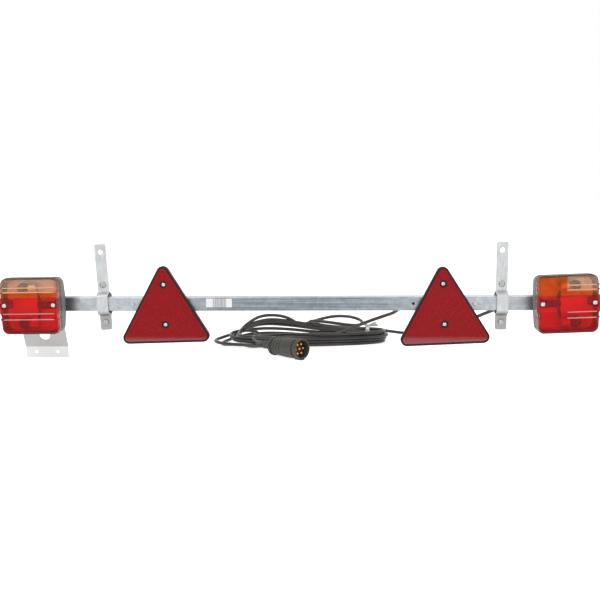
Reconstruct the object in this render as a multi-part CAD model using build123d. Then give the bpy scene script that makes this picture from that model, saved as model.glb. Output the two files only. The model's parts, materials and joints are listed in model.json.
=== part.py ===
from build123d import *
import os
from math import atan2, cos, degrees, radians, sin, sqrt, tan

# Trailer lighting board, in millimetres.
# +X runs along the bar to the viewer's right, -Y faces the viewer behind the trailer, +Z is up.
# The origin lies midway between the two strap holes, on the straps' back faces, over the middle of the bar.

# Straps: a strip with one hanging hole, stepped over the front of the bar, and a saddle behind the bar
strap_spacing = 716.4
strap_width = 20.0
strip_thickness = 3.0
strip_corner = 3.0
strap_hole_radius = 4.5
hole_above_bar = 93.2
strip_above_hole = 14.5
strap_tilt = {"left": 2.7, "right": -0.3}
saddle_sheet = 2.0
strap_gap = 0.8
strap_clearance = 1.4
strap_bend = 3.5
web_splay = 6.0
clamp_half_spacing = 34.0
saddle_edge = 10.0
strip_edge = 14.0

# Clamp bolts through strip and saddle, above and below the bar, with their nuts
clamp_shank_radius = 3.0
clamp_head_radius = 5.6
clamp_head_height = 3.2
clamp_nut_flats = 10.0
clamp_nut_height = 5.0
clamp_bolt_past_nut = 1.5
bolt_clearance = 0.3

# Crossbar
bar_height = 25.0
bar_depth = 25.0
bar_wall = 1.5
bar_corner = 2.5
bar_end_inset = 12.0
end_cap_flange = 2.0
end_cap_length = 10.0
end_cap_gap = 0.1
bar_rivet_inside_strap = {"left": 58.4, "right": 48.0}
bar_rivet_head_radius = 4.2
bar_rivet_head_height = 1.8
bar_rivet_shank_radius = 2.4
bar_rivet_grip = 5.0
spare_hole_inside_strap = 156.0
spare_hole_radius = 2.6

# Lamps
lamp_beyond_strap = {"left": 113.1, "right": 102.0}
lamp_outer = {"left": -1, "right": 1}
lamp_tilt = {"left": 0.6, "right": 2.0}
lamp_lift = {"left": 2.0, "right": 3.5}
lamp_width = 104.0
lamp_height = 100.8
lamp_corner = 12.0
base_depth = 29.0
base_wall = 2.5
base_draft = 3.5
base_flat_half = 16.0
base_slope = 11.0
seal_thickness = 1.5
seal_inset = 0.6
seal_width = 3.4
lens_depth = 17.5
lens_wall = 2.4
lens_draft = 3.0
lens_edge_radius = 6.0
lens_crown_radius = 240.0
colour_line = 15.0
belt_bottom = -11.2
belt_proud = 1.6
belt_side = 1.6
belt_corner = 7.0
lens_rib_height = 2.4
lens_rib_proud = 1.2
amber_ribs = (33.0, 25.2)
red_ribs = (-12.4, -22.7)
lens_screw_from_side = 8.5
lens_screw_z = 2.3
lens_post_radius = 4.6
lens_recess_radius = 6.2
lens_recess_depth = 3.4
lens_screw_head_radius = 4.2
lens_screw_head_height = 2.6
lens_screw_shank_radius = 1.9
lens_screw_length = 34.0
screw_clearance = 0.2

# Lamp fixing and feed
bolt_from_feed = 13.0
lamp_bolt_radius = 2.5
lamp_bolt_head_radius = 4.6
lamp_bolt_head_height = 3.2
lamp_nut_flats = 8.0
lamp_nut_height = 4.0
feed_from_lens_screw = 12.5
grommet_radius = 5.0
grommet_flange_radius = 7.0
grommet_flange = 1.5

# Bulbs, their holders and the plate that carries them
bulb_plate_side_gap = 16.0
bulb_plate_end_gap = 8.25
bulb_plate_sheet = 1.2
bulb_plate_stand = 13.5
bulb_rest_inset = 7.5
bulb_rest_radius = 4.0
bulb_axis_depth = 25.0
bulb_from_edge = {"indicator": 20.0, "stop_tail": 18.0}
globe_x = 17.0
globe_radius = 9.5
globe_neck_radius = 6.2
cap_radius = 7.5
cap_length = 15.0
cap_from_globe = 11.0
holder_wall = 0.9
holder_gap = 0.15
holder_length = 13.0
holder_foot = 11.0

# Number plate bracket, one folded sheet behind the left lamp
plate_sheet = 1.5
plate_side_gap = 12.0
plate_offset = 2.4
plate_tab_top = 12.0
plate_bend_start = 15.0
plate_slope = 21.8
plate_fold = 81.6
plate_bottom = 102.0
plate_bend_radius = 3.0
plate_hole_spacing = 40.0
plate_hole_radius = 2.75
plate_hole_above_bottom = 10.5
access_hole_radius = 9.5
access_hole_drop = 59.0

# Triangular reflectors
reflector_inside_strap = {"left": 117.9, "right": 103.5}
reflector_tilt = {"left": 1.6, "right": 2.5}
reflector_drop = {"left": 0.0, "right": 3.2}
reflector_side = 133.5
reflector_corner = 11.0
tray_depth = 9.0
tray_floor = 3.0
tray_rim = 3.6
tray_gap = 0.2
reflector_lens = 6.5
lens_border = 4.5
lens_field_step = 0.5
reflector_screw_half = 36.0
tray_boss_radius = 6.4
tray_recess_radius = 4.6
tray_recess_depth = 3.2
reflector_head_radius = 4.0
reflector_head_height = 2.8
reflector_shank_radius = 2.0
reflector_nut_flats = 7.0
reflector_nut_height = 3.2
clip_width = 15.0
clip_sheet = 1.5
clip_clearance = 1.0
clip_step = 7.0
clip_bend = 2.5
clip_edge = 8.0

# Leads, hank and plug; heights here are above the surface that the lead lies on
floor_below_bar = 102.5
lead_radius = 3.25
lead_grommet_from_strap = {"left": -165.0, "right": 26.0}
hank_left = (-92.0, 155.0, 68.0)
hank_right = (132.0, 175.0, 45.0)
hank_eye_left = (-84.0, 155.0, 34.0)
hank_eye_right = (118.0, 173.0, 22.0)
hank_height = 52.0
hank_fall = {"along": 5.0, "near": 9.0}
hank_edge = 9.0
hank_waist = 27.0
tie_x = 128.0
tie_width = 8.0
tie_thickness = 0.8
tie_gap = 0.2
plug_face = (5.0, -8.0)
plug_heading = 43.0
plug_radius = 18.4
plug_wall = 2.4
plug_barrel = 30.0
plug_cover = 45.0
plug_neck_radius = 15.6
plug_flange_radius = 17.4
plug_flange = 5.0
plug_spigot = 5.0
plug_lug = 1.6
plug_lug_width = 8.0
plug_lug_length = 16.0
plug_groove_at = 9.0
plug_groove_width = 3.0
plug_groove_depth = 1.2
cover_grooves = (12.0, 20.0, 28.0)
carrier_thickness = 8.0
pin_circle = 9.4
pin_radius = 2.3
pin_recess = 7.0
pin_tail = 5.0
tail_length = 28.0
tail_width = 10.0
tail_height = 16.0
lead_offset = 3.6

# Places worked out from the sizes above
bar_z = -hole_above_bar
bar_back = bar_depth / 2
bar_front = -bar_depth / 2
floor_z = bar_z - floor_below_bar
lens_back = base_depth + seal_thickness
lens_front = lens_back + lens_depth
strap_x = {side: outward * strap_spacing / 2 for side, outward in lamp_outer.items()}
lamp_x = {side: strap_x[side] + lamp_outer[side] * lamp_beyond_strap[side] for side in strap_x}
reflector_x = {side: strap_x[side] - lamp_outer[side] * reflector_inside_strap[side] for side in strap_x}
bar_rivet_x = [strap_x[side] - lamp_outer[side] * bar_rivet_inside_strap[side] for side in strap_x]
spare_hole_x = strap_x["right"] - spare_hole_inside_strap
lead_grommet_x = {side: strap_x["right"] + lead_grommet_from_strap[side] for side in strap_x}
lens_screw_x = lamp_width / 2 - lens_screw_from_side
feed_x = lens_screw_x - feed_from_lens_screw
lamp_bolt_half_spacing = feed_x - bolt_from_feed
bulb_plate_width = lamp_width - 2 * bulb_plate_side_gap
bulb_plate_height = lamp_height - 2 * bulb_plate_end_gap
bulb_rest_half = (bulb_plate_width / 2 - bulb_rest_inset, bulb_plate_height / 2 - bulb_rest_inset)
bulb_z = {
    "indicator": lamp_height / 2 - bulb_from_edge["indicator"],
    "stop_tail": bulb_from_edge["stop_tail"] - lamp_height / 2,
}
plate_width = lamp_width - 2 * plate_side_gap
plate_x = lamp_x["left"] + plate_offset
FRONT = Plane.XZ

nodes = {}


def post(radius, near, far, x=0.0, z=0.0):
    """Round bar along Y from depth near to depth far in front of the local plane."""
    return Pos(x, -near, z) * extrude(FRONT * Circle(radius), amount=far - near)


def hexagon(flats, near, far, x=0.0, z=0.0):
    """Hexagonal bar along Y, sized across its flats, with its outer corners turned off."""
    bar = extrude(FRONT * RegularPolygon(flats / 2, 6, major_radius=False), amount=far - near)
    turned = extrude(FRONT * Circle(flats / 2 * 1.12), amount=far - near)
    return Pos(x, -near, z) * (bar & turned)


def dome_head(radius, height, near, x=0.0, z=0.0):
    """Domed screw or rivet head standing on depth near."""
    head = extrude(FRONT * Circle(radius), amount=height)
    return Pos(x, -near, z) * fillet(head.faces().sort_by(Axis.Y)[0].edges(), height * 0.72)


def folded_sheet(points, bend, sheet, width):
    """Folded strip: a profile of (y, z) points with round bends, carried along X."""
    line = FilletPolyline(*points, radius=bend)
    return extrude(Plane.YZ * trace(line, line_width=sheet), amount=width / 2, both=True)


def tilted(x, y, z, tilt):
    """Place with a small turn in the plane of the board, anticlockwise to the viewer."""
    return Pos(x, y, z) * Rot(0, -tilt, 0)


def strap_place(side):
    return tilted(strap_x[side], 0, 0, strap_tilt[side])


def lamp_place(side):
    sheet = plate_sheet if side == "left" else 0.0
    return tilted(lamp_x[side], bar_front - sheet, bar_z + lamp_lift[side], lamp_tilt[side])


def reflector_place(side):
    return tilted(reflector_x[side], bar_front, bar_z, reflector_tilt[side])


def spot(place, x, z):
    """X and Z of a local point once its sub-assembly is in place."""
    at = (place * Pos(x, 0, z)).position
    return at.X, at.Z


def bar_hole(radius, x, z, front=True, back=True):
    """Cutter through the bar's front wall, its back wall or both."""
    near = -bar_depth / 2 - bar_wall if back else 0.0
    far = bar_depth / 2 + bar_wall if front else 0.0
    return post(radius, near, far, x, z)


def bar_end(side):
    """X of the bar's end face, hidden behind the lamp."""
    return lamp_x[side] + lamp_outer[side] * (lamp_width / 2 - bar_end_inset)


# Crossbar with its holes, its end caps, and the blind rivets in its front wall
def crossbar():
    left, right = bar_end("left"), bar_end("right")
    outer = RectangleRounded(bar_depth, bar_height, bar_corner)
    inner = RectangleRounded(bar_depth - 2 * bar_wall, bar_height - 2 * bar_wall, bar_corner - bar_wall)
    section = Plane.YZ * (outer - inner)
    tube = Pos(left, (bar_front + bar_back) / 2, bar_z) * extrude(section, amount=right - left)
    for side, outward in lamp_outer.items():
        place = lamp_place(side)
        for step in (-1, 1):
            tube -= bar_hole(lamp_bolt_radius + bolt_clearance, *spot(place, step * lamp_bolt_half_spacing, 0))
        tube -= bar_hole(grommet_radius, *spot(place, -outward * feed_x, 0), back=False)
        tube -= bar_hole(grommet_radius, lead_grommet_x[side], bar_z, front=False)
    for x in bar_rivet_x:
        tube -= bar_hole(bar_rivet_shank_radius, x, bar_z, back=False)
    return tube - bar_hole(spare_hole_radius, spare_hole_x, bar_z, back=False)


def end_cap(side):
    flange = extrude(Plane.YZ * RectangleRounded(bar_depth, bar_height, bar_corner), amount=end_cap_flange)
    inset = 2 * (bar_wall + end_cap_gap)
    spigot = extrude(Plane.YZ * Rectangle(bar_depth - inset, bar_height - inset), amount=-end_cap_length)
    spigot = fillet(spigot.edges().filter_by(Axis.X), bar_corner)
    turn = 0 if lamp_outer[side] > 0 else 180
    return Pos(bar_end(side), (bar_front + bar_back) / 2, bar_z) * Rot(0, 0, turn) * (flange + spigot)


def bar_rivet(x):
    wall_face = bar_depth / 2
    head = dome_head(bar_rivet_head_radius, bar_rivet_head_height, wall_face, x, bar_z)
    return head + post(bar_rivet_shank_radius, wall_face - bar_wall - bar_rivet_grip, wall_face, x, bar_z)


# Straps, in their own frame with the hanging hole at the origin
clamp_z = (clamp_half_spacing - hole_above_bar, -clamp_half_spacing - hole_above_bar)


def stepped_sheet(sheet, facing, top, bottom):
    """Sheet on the strap's middle plane, stepped round the bar on one side; top and bottom are from the bar."""
    flat_y = facing * sheet / 2
    panel_y = facing * (bar_depth / 2 + strap_gap + sheet / 2)
    panel_half = bar_height / 2 + strap_clearance + sheet / 2
    foot_half = panel_half + web_splay
    points = [
        (flat_y, top),
        (flat_y, foot_half),
        (panel_y, panel_half),
        (panel_y, -panel_half),
        (flat_y, -foot_half),
        (flat_y, -bottom),
    ]
    body = Pos(0, 0, -hole_above_bar) * folded_sheet(points, strap_bend, sheet, strap_width)
    for z in clamp_z:
        near, far = sorted((0.0, -facing * sheet))
        body -= post(clamp_shank_radius + bolt_clearance, near, far, 0, z)
    ends = body.edges().filter_by(Axis.Y).group_by(Axis.Z)
    return fillet(ends[0] + ends[-1], strip_corner)


def strip():
    """Front strip, with the hanging hole over its step."""
    top, bottom = hole_above_bar + strip_above_hole, clamp_half_spacing + strip_edge
    return stepped_sheet(strip_thickness, -1, top, bottom) - post(strap_hole_radius, 0, strip_thickness)


def saddle():
    """Short strip behind the bar that the clamp bolts draw towards the front one."""
    end = clamp_half_spacing + saddle_edge
    return stepped_sheet(saddle_sheet, 1, end, end)


def clamp_bolt(z):
    head = dome_head(clamp_head_radius, clamp_head_height, strip_thickness, 0, z)
    end = saddle_sheet + clamp_nut_height + clamp_bolt_past_nut
    return head + post(clamp_shank_radius, -end, strip_thickness, 0, z)


def clamp_nut(z):
    near = -saddle_sheet - clamp_nut_height
    return hexagon(clamp_nut_flats, near, -saddle_sheet, 0, z) - post(clamp_shank_radius, near, -saddle_sheet, 0, z)


# Lamps, in their own frame with the centre of the base's back at the origin
def outline(width, height, corner):
    return RectangleRounded(width, height, corner)


def base_back(z):
    """Depth of the base's back at a height: flat behind the bar, sloping forward above and below it."""
    share = (abs(z) - base_flat_half) / (lamp_height / 2 - base_flat_half)
    return base_slope * max(share, 0.0)


def base_volume(inset, floor):
    """Drafted tray volume from the rim back to depth floor, set in from the outside by inset."""
    rim = Plane((0, -base_depth, 0), x_dir=(1, 0, 0), z_dir=(0, 1, 0))
    shape = outline(lamp_width - 2 * inset, lamp_height - 2 * inset, lamp_corner - inset)
    block = extrude(rim * shape, amount=base_depth - floor, taper=base_draft)
    back = [(-base_back(z) - floor, z) for z in (lamp_height, base_flat_half, -base_flat_half, -lamp_height)]
    side = Polyline((-base_depth, -lamp_height), (-base_depth, lamp_height), *back, close=True)
    return block & extrude(Plane.YZ * make_face(side), amount=lamp_width, both=True)


def lamp_base(side):
    body = base_volume(0, 0) - base_volume(base_wall, base_wall)
    for step in (-1, 1):
        x = step * lens_screw_x
        body += post(lens_post_radius, base_wall, lens_back, x, lens_screw_z)
        body -= post(lens_screw_shank_radius, base_wall, lens_back, x, lens_screw_z)
        body -= post(lamp_bolt_radius + bolt_clearance, 0, base_wall, step * lamp_bolt_half_spacing)
        for height in (-1, 1):
            rest_x, rest_z = bulb_rest_half
            wall_middle = base_back(rest_z) + base_wall / 2 + bulb_rest_radius * base_slope / lamp_height
            body += post(bulb_rest_radius, wall_middle, bulb_plate_stand, step * rest_x, height * rest_z)
    return body - post(grommet_radius, 0, base_wall, -lamp_outer[side] * feed_x)


def seal():
    outer = outline(lamp_width - 2 * seal_inset, lamp_height - 2 * seal_inset, lamp_corner - seal_inset)
    inset = seal_inset + seal_width
    inner = outline(lamp_width - 2 * inset, lamp_height - 2 * inset, lamp_corner - inset)
    ring = Pos(0, -base_depth, 0) * extrude(FRONT * (outer - inner), amount=seal_thickness)
    for step in (-1, 1):
        x = step * lens_screw_x
        ring -= post(lens_post_radius + screw_clearance, base_depth, lens_back, x, lens_screw_z)
    return ring


def lens_volume(inset, rounding):
    """Crowned lens volume: a drafted rounded rectangle cut by a cylinder along X, set in by inset."""
    rim = Plane((0, -lens_back, 0), x_dir=(1, 0, 0), z_dir=(0, -1, 0))
    shape = outline(lamp_width - 2 * inset, lamp_height - 2 * inset, lamp_corner - inset)
    block = extrude(rim * shape, amount=lens_depth - inset, taper=lens_draft)
    crown = Cylinder(lens_crown_radius - inset, 2 * lamp_width, rotation=(0, 90, 0))
    body = block & (Pos(0, lens_crown_radius - lens_front, 0) * crown)
    if rounding <= 0:
        return body
    return fillet(body.faces().sort_by(Axis.Y)[0].edges(), rounding)


def slab(bottom, top):
    """Cutter that keeps what lies between two heights of a lamp."""
    return Pos(0, -lens_back - lens_depth / 2, (bottom + top) / 2) * Box(
        2 * lamp_width, 3 * lens_depth, top - bottom
    )


def belt():
    """Raised band that carries the two lens screws, round the front and both sides."""
    depth = lens_depth + belt_proud
    plan = Pos(0, -lens_back - depth / 2) * Rectangle(lamp_width + 2 * belt_side, depth)
    front = plan.vertices().group_by(Axis.Y)[0]
    band = Pos(0, 0, belt_bottom) * extrude(fillet(front, belt_corner), amount=colour_line - belt_bottom)
    return band


def lens_shell():
    """Both colours of the lens in one: wall, ribs, belt and screw posts."""
    body = lens_volume(0, lens_edge_radius)
    proud = lens_volume(-lens_rib_proud, lens_edge_radius)
    for z in amber_ribs + red_ribs:
        body += proud & slab(z - lens_rib_height / 2, z + lens_rib_height / 2)
    body += belt()
    body -= lens_volume(lens_wall, lens_edge_radius - lens_wall)
    face = lens_front + belt_proud
    for step in (-1, 1):
        at = (step * lens_screw_x, lens_screw_z)
        seat = face - lens_recess_depth
        body += post(lens_post_radius, lens_back, lens_front - lens_wall, *at)
        body += post(lens_recess_radius + lens_wall / 2, seat - lens_wall, face - lens_wall, *at)
        body -= post(lens_recess_radius, seat, face, *at)
        body -= post(lens_screw_shank_radius + screw_clearance, lens_back, face, *at)
    return body


def lens_screw(x):
    seat = lens_front + belt_proud - lens_recess_depth
    head = dome_head(lens_screw_head_radius, lens_screw_head_height, seat, x, lens_screw_z)
    return head + post(lens_screw_shank_radius, seat - lens_screw_length, seat, x, lens_screw_z)


def lamp_bolt(side, step):
    """Bolt from inside the base through the bar."""
    sheet = plate_sheet if side == "left" else 0.0
    x = step * lamp_bolt_half_spacing
    head = dome_head(lamp_bolt_head_radius, lamp_bolt_head_height, base_wall, x)
    return head + post(lamp_bolt_radius, -(sheet + bar_depth + lamp_nut_height), base_wall, x)


def lamp_nut(side, step):
    sheet = plate_sheet if side == "left" else 0.0
    seat, x = -(sheet + bar_depth), step * lamp_bolt_half_spacing
    body = hexagon(lamp_nut_flats, seat - lamp_nut_height, seat, x)
    return body - post(lamp_bolt_radius, seat - lamp_nut_height, seat, x)


def feed_grommet(side):
    """Rubber sleeve through the base's back and the bar's front wall, round the feed lead."""
    sheet = plate_sheet if side == "left" else 0.0
    x = -lamp_outer[side] * feed_x
    body = post(grommet_radius, -(sheet + bar_wall), base_wall, x)
    body += post(grommet_flange_radius, base_wall, base_wall + grommet_flange, x)
    return body - post(lead_radius, -(sheet + bar_wall), base_wall + grommet_flange, x)


def bulb_plate():
    body = extrude(FRONT * outline(bulb_plate_width, bulb_plate_height, lamp_corner), amount=bulb_plate_sheet)
    return Pos(0, -bulb_plate_stand, 0) * body


def along_x(profile):
    """Turned piece from an (x, radius) profile about the bulb's axis."""
    return revolve(make_face(profile), Axis.X)


def bulb_glass():
    """Globe and neck, with the globe's centre at the origin and the cap on the -X side."""
    ball = Sphere(globe_radius)
    neck = Pos(-cap_from_globe / 2, 0, 0) * Cylinder(globe_neck_radius, cap_from_globe, rotation=(0, 90, 0))
    return ball + neck


def bulb_cap():
    start = -cap_from_globe
    profile = Polyline(
        (start, 0),
        (start, cap_radius),
        (start - cap_length + 3, cap_radius),
        (start - cap_length, cap_radius - 3),
        (start - cap_length, 0),
        close=True,
    )
    return along_x(profile)


def bulb_holder():
    """Sleeve round the bulb's cap, with a foot that stands on the bulb plate."""
    inner = cap_radius + holder_gap
    outer = inner + holder_wall
    middle = -cap_from_globe - cap_length + holder_length / 2
    sleeve = Pos(middle, 0, 0) * Cylinder(outer, holder_length, rotation=(0, 90, 0))
    bore = Pos(middle, 0, 0) * Cylinder(inner, holder_length, rotation=(0, 90, 0))
    stand = bulb_axis_depth - bulb_plate_stand - bulb_plate_sheet
    foot = Pos(middle, stand / 2, 0) * Box(holder_foot, stand, 2 * outer - 4 * holder_wall)
    return sleeve + foot - bore


def bulb_place(side, bulb):
    """Bulb axis along X, globe on the lamp's outer side."""
    outward = lamp_outer[side]
    turn = Rot(0, 0, 0) if outward > 0 else Rot(0, 180, 0)
    return lamp_place(side) * Pos(outward * globe_x, -bulb_axis_depth, bulb_z[bulb]) * turn


# Number plate bracket
def plate_bracket():
    centre = bar_front - plate_sheet / 2
    back = centre + (plate_fold - plate_bend_start) * tan(radians(plate_slope))
    points = [
        (centre, bar_z + plate_tab_top),
        (centre, bar_z - plate_bend_start),
        (back, bar_z - plate_fold),
        (back, bar_z - plate_bottom),
    ]
    body = Pos(plate_x, 0, 0) * folded_sheet(points, plate_bend_radius, plate_sheet, plate_width)
    place = lamp_place("left")
    reach = bar_depth / 2 + plate_sheet
    for step in (-1, 1):
        x, z = spot(place, step * lamp_bolt_half_spacing, 0)
        body -= post(lamp_bolt_radius + bolt_clearance, reach - plate_sheet, reach, x, z)
        hole_z = bar_z - plate_bottom + plate_hole_above_bottom
        x = plate_x + step * plate_hole_spacing / 2
        body -= post(plate_hole_radius, -back - plate_sheet, -back + plate_sheet, x, hole_z)
    x, z = spot(place, -lamp_outer["left"] * feed_x, 0)
    body -= post(grommet_radius, reach - plate_sheet, reach, x, z)
    slope_y = centre + (access_hole_drop - plate_bend_start) * tan(radians(plate_slope))
    access = Cylinder(access_hole_radius, 6 * plate_sheet, rotation=(90 + plate_slope, 0, 0))
    return body - Pos(plate_x, slope_y, bar_z - access_hole_drop) * access


# Reflectors, in their own frame with the bar's front face at the origin
def triangle(side, inset):
    """Equilateral triangle with round corners, set in by inset."""
    corner = reflector_corner - inset
    inradius = reflector_side / (2 * sqrt(3)) + corner
    middle = reflector_side * sqrt(3) / 12
    shape = RegularPolygon(2 * inradius, 3, rotation=90)
    return Pos(0, -reflector_drop[side] - middle) * fillet(shape.vertices(), corner)


def tray(side):
    body = extrude(FRONT * triangle(side, 0), amount=tray_depth)
    body -= Pos(0, -tray_floor, 0) * extrude(FRONT * triangle(side, tray_rim), amount=tray_depth)
    for z in (reflector_screw_half, -reflector_screw_half):
        body += post(tray_boss_radius, tray_floor, tray_depth, 0, z)
        body -= post(tray_recess_radius, tray_depth - tray_recess_depth, tray_depth, 0, z)
        body -= post(reflector_shank_radius + screw_clearance, 0, tray_depth, 0, z)
    return body


def reflector_prism(side):
    body = Pos(0, -tray_floor, 0) * extrude(FRONT * triangle(side, tray_rim + tray_gap), amount=reflector_lens)
    front = tray_floor + reflector_lens
    field = extrude(FRONT * triangle(side, tray_rim + lens_border), amount=lens_field_step)
    body -= Pos(0, lens_field_step - front, 0) * field
    for z in (reflector_screw_half, -reflector_screw_half):
        body -= post(tray_boss_radius + tray_gap, tray_floor, front, 0, z)
    return body


clip_flange = bar_depth - clip_step


def clip():
    """Strip folded over the back of the bar that the reflector's screws pull against."""
    flange_y = clip_flange + clip_sheet / 2
    back_y = bar_depth + clip_sheet / 2
    foot_half = bar_height / 2 + clip_clearance + clip_sheet / 2
    end_half = reflector_screw_half + clip_edge
    half = [(flange_y, end_half), (flange_y, foot_half), (back_y, foot_half)]
    points = half + [(y, -z) for y, z in reversed(half)]
    body = folded_sheet(points, clip_bend, clip_sheet, clip_width)
    for z in (reflector_screw_half, -reflector_screw_half):
        body -= post(reflector_shank_radius + screw_clearance, -clip_flange - clip_sheet, -clip_flange, 0, z)
    return body


def reflector_screw(z):
    seat = tray_depth - tray_recess_depth
    end = clip_flange + clip_sheet + reflector_nut_height
    head = dome_head(reflector_head_radius, reflector_head_height, seat, 0, z)
    return head + post(reflector_shank_radius, -end, seat, 0, z)


def reflector_nut(z):
    seat = -(clip_flange + clip_sheet)
    body = hexagon(reflector_nut_flats, seat - reflector_nut_height, seat, 0, z)
    return body - post(reflector_shank_radius, seat - reflector_nut_height, seat, 0, z)


# Leads
def route(name, points):
    """Tube of the lead along straight runs joined by the largest tangent arcs that fit."""
    radii = []
    for before, here, after in zip(points, points[1:], points[2:]):
        arrive = Vector(here) - Vector(before)
        leave = Vector(after) - Vector(here)
        turn = radians(arrive.get_angle(leave))
        radii.append(0.45 * min(arrive.length, leave.length) / tan(turn / 2))
    path = FilletPolyline(*points, radius=radii)
    tube = sweep(Plane(path @ 0, z_dir=path % 0) * Circle(lead_radius), path=path)
    print(name, "length", round(path.length, 1), "radii", [round(r, 1) for r in radii])
    return tube


def lead_grommet(x):
    """Rubber bush in the bar's back wall where a lead comes out."""
    outside = -bar_depth / 2
    inside = outside + bar_wall
    body = post(grommet_radius, outside, inside, x, bar_z)
    body += post(grommet_flange_radius, outside - grommet_flange, outside, x, bar_z)
    body += post(grommet_flange_radius, inside, inside + grommet_flange, x, bar_z)
    return body - post(lead_radius, outside - grommet_flange, inside + grommet_flange, x, bar_z)


grommet_face = bar_back + grommet_flange
bar_middle = (bar_front + bar_back) / 2


def feed_lead(side):
    """Lead inside the bar, from its grommet in the back wall to the lamp's own grommet."""
    end_x, end_z = spot(lamp_place(side), -lamp_outer[side] * feed_x, 0)
    sheet = plate_sheet if side == "left" else 0.0
    start_x = lead_grommet_x[side]
    inside = bar_front - sheet - base_wall - grommet_flange
    points = [
        (start_x, grommet_face, bar_z),
        (start_x, bar_middle, bar_z),
        (end_x, bar_middle, end_z),
        (end_x, inside, end_z),
    ]
    path = FilletPolyline(*points, radius=bar_depth / 3)
    return sweep(Plane(path @ 0, z_dir=path % 0) * Circle(lead_radius), path=path)


def above_floor(point):
    x, y, height = point
    return x, y, floor_z + height


# Each lead outside the bar: share of the way in X from its grommet to the hank, Y, and height
lead_end_x = {"left": 66.0, "right": 146.0}
lead_clear = {"left": 45.0, "right": 43.0}
lead_route = {
    "left": [
        (0.109, 76.0, 76.0),
        (0.293, 97.0, 65.0),
        (0.531, 113.0, 52.0),
        (0.750, 122.0, 39.0),
        (1.000, 128.0, 25.0),
    ],
    "right": [
        (0.046, 71.0, 86.0),
        (0.126, 91.0, 74.0),
        (0.205, 112.0, 62.0),
        (0.297, 135.0, 46.0),
        (0.397, 159.0, 30.0),
        (0.506, 182.0, 18.0),
        (0.623, 202.0, 12.0),
        (0.753, 213.0, 13.0),
        (0.883, 213.0, 17.0),
        (1.000, 207.0, 22.0),
    ],
}


def lead_points(side):
    """Route of one lead: straight out of its grommet, then down to the hank."""
    start, end = lead_grommet_x[side], lead_end_x[side]
    points = [(start, grommet_face, bar_z), (start, lead_clear[side], bar_z)]
    return points + [above_floor((start + share * (end - start), y, h)) for share, y, h in lead_route[side]]


def hull_of(left, right):
    """Outline of two circles, each (x, y, radius), and their outer tangents."""
    circles = [Pos(x, y) * Circle(radius) for x, y, radius in (left, right)]
    return make_hull([edge for circle in circles for edge in circle.edges()])


def hank():
    """Outer shape of the tied loops: a flat drop with an open eye at its loose end."""
    shape = hull_of(hank_left, hank_right) - hull_of(hank_eye_left, hank_eye_right)
    body = extrude(shape, amount=2 * hank_height)
    reach = 2 * strap_spacing
    peak = (hank_left[0], hank_left[1] + hank_left[2], hank_height)
    above = Pos(*peak) * Rot(hank_fall["near"], hank_fall["along"], 0) * Pos(0, 0, reach / 2) * Box(reach, reach, reach)
    body -= above
    body = fillet(body.faces().sort_by(Axis.Z)[-1].edges(), hank_edge)
    above_tie = Box(tie_width + 2 * hank_edge, 2 * hank_right[2], 2 * (hank_height - hank_waist))
    body -= Pos(tie_x, hank_eye_right[1] + hank_right[2], hank_height) * above_tie
    return Pos(0, 0, floor_z + tie_thickness) * body


def tie(bundle):
    """Band drawn round the hank's far run near its folded end."""
    reach = 2 * hank_right[2]
    window = Box(tie_width, reach, 3 * hank_height)
    held = bundle & Pos(tie_x, hank_eye_right[1] + reach / 2, floor_z) * window
    run = held.bounding_box()
    width, height = run.size.Y + 2 * tie_gap, run.size.Z
    inner = Rectangle(width, height)
    outer = Rectangle(width + 2 * tie_thickness, height + 2 * tie_thickness)
    middle = run.center()
    return Pos(tie_x, middle.Y, middle.Z) * extrude(Plane.YZ * (outer - inner), amount=tie_width / 2, both=True)


# Plug, turned about its own axis with the front rim at the origin and the mouth towards +Z
def turned(points):
    return revolve(Plane.XZ * make_face(Polyline(*points, close=True)), Axis.Z)


def plug_place():
    """Plug lying on its front lug and its rear flange."""
    length = plug_barrel + plug_cover
    rise = plug_radius + plug_lug - plug_flange_radius
    pitch = atan2(rise, length - plug_flange)
    heading = radians(plug_heading)
    axis = Vector(cos(heading) * cos(pitch), -sin(heading) * cos(pitch), sin(pitch))
    level = Vector(sin(heading), cos(heading), 0)
    height = floor_z + (plug_radius + plug_lug) * cos(pitch)
    return Plane((plug_face[0], plug_face[1], height), x_dir=level, z_dir=axis).location


def plug_shell():
    barrel = turned([
        (plug_radius - plug_wall, -plug_barrel),
        (plug_radius, -plug_barrel),
        (plug_radius, -plug_groove_at - plug_groove_width),
        (plug_radius - plug_groove_depth, -plug_groove_at - plug_groove_width),
        (plug_radius - plug_groove_depth, -plug_groove_at),
        (plug_radius, -plug_groove_at),
        (plug_radius, 0),
        (plug_radius - plug_wall, 0),
    ])
    lug = Pos(0, -plug_radius, -plug_lug_length / 2) * Box(plug_lug_width, 2 * plug_lug, plug_lug_length)
    bore = Pos(0, 0, -plug_barrel / 2) * Cylinder(plug_radius - plug_wall, plug_barrel)
    return barrel + (lug - bore)


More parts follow.
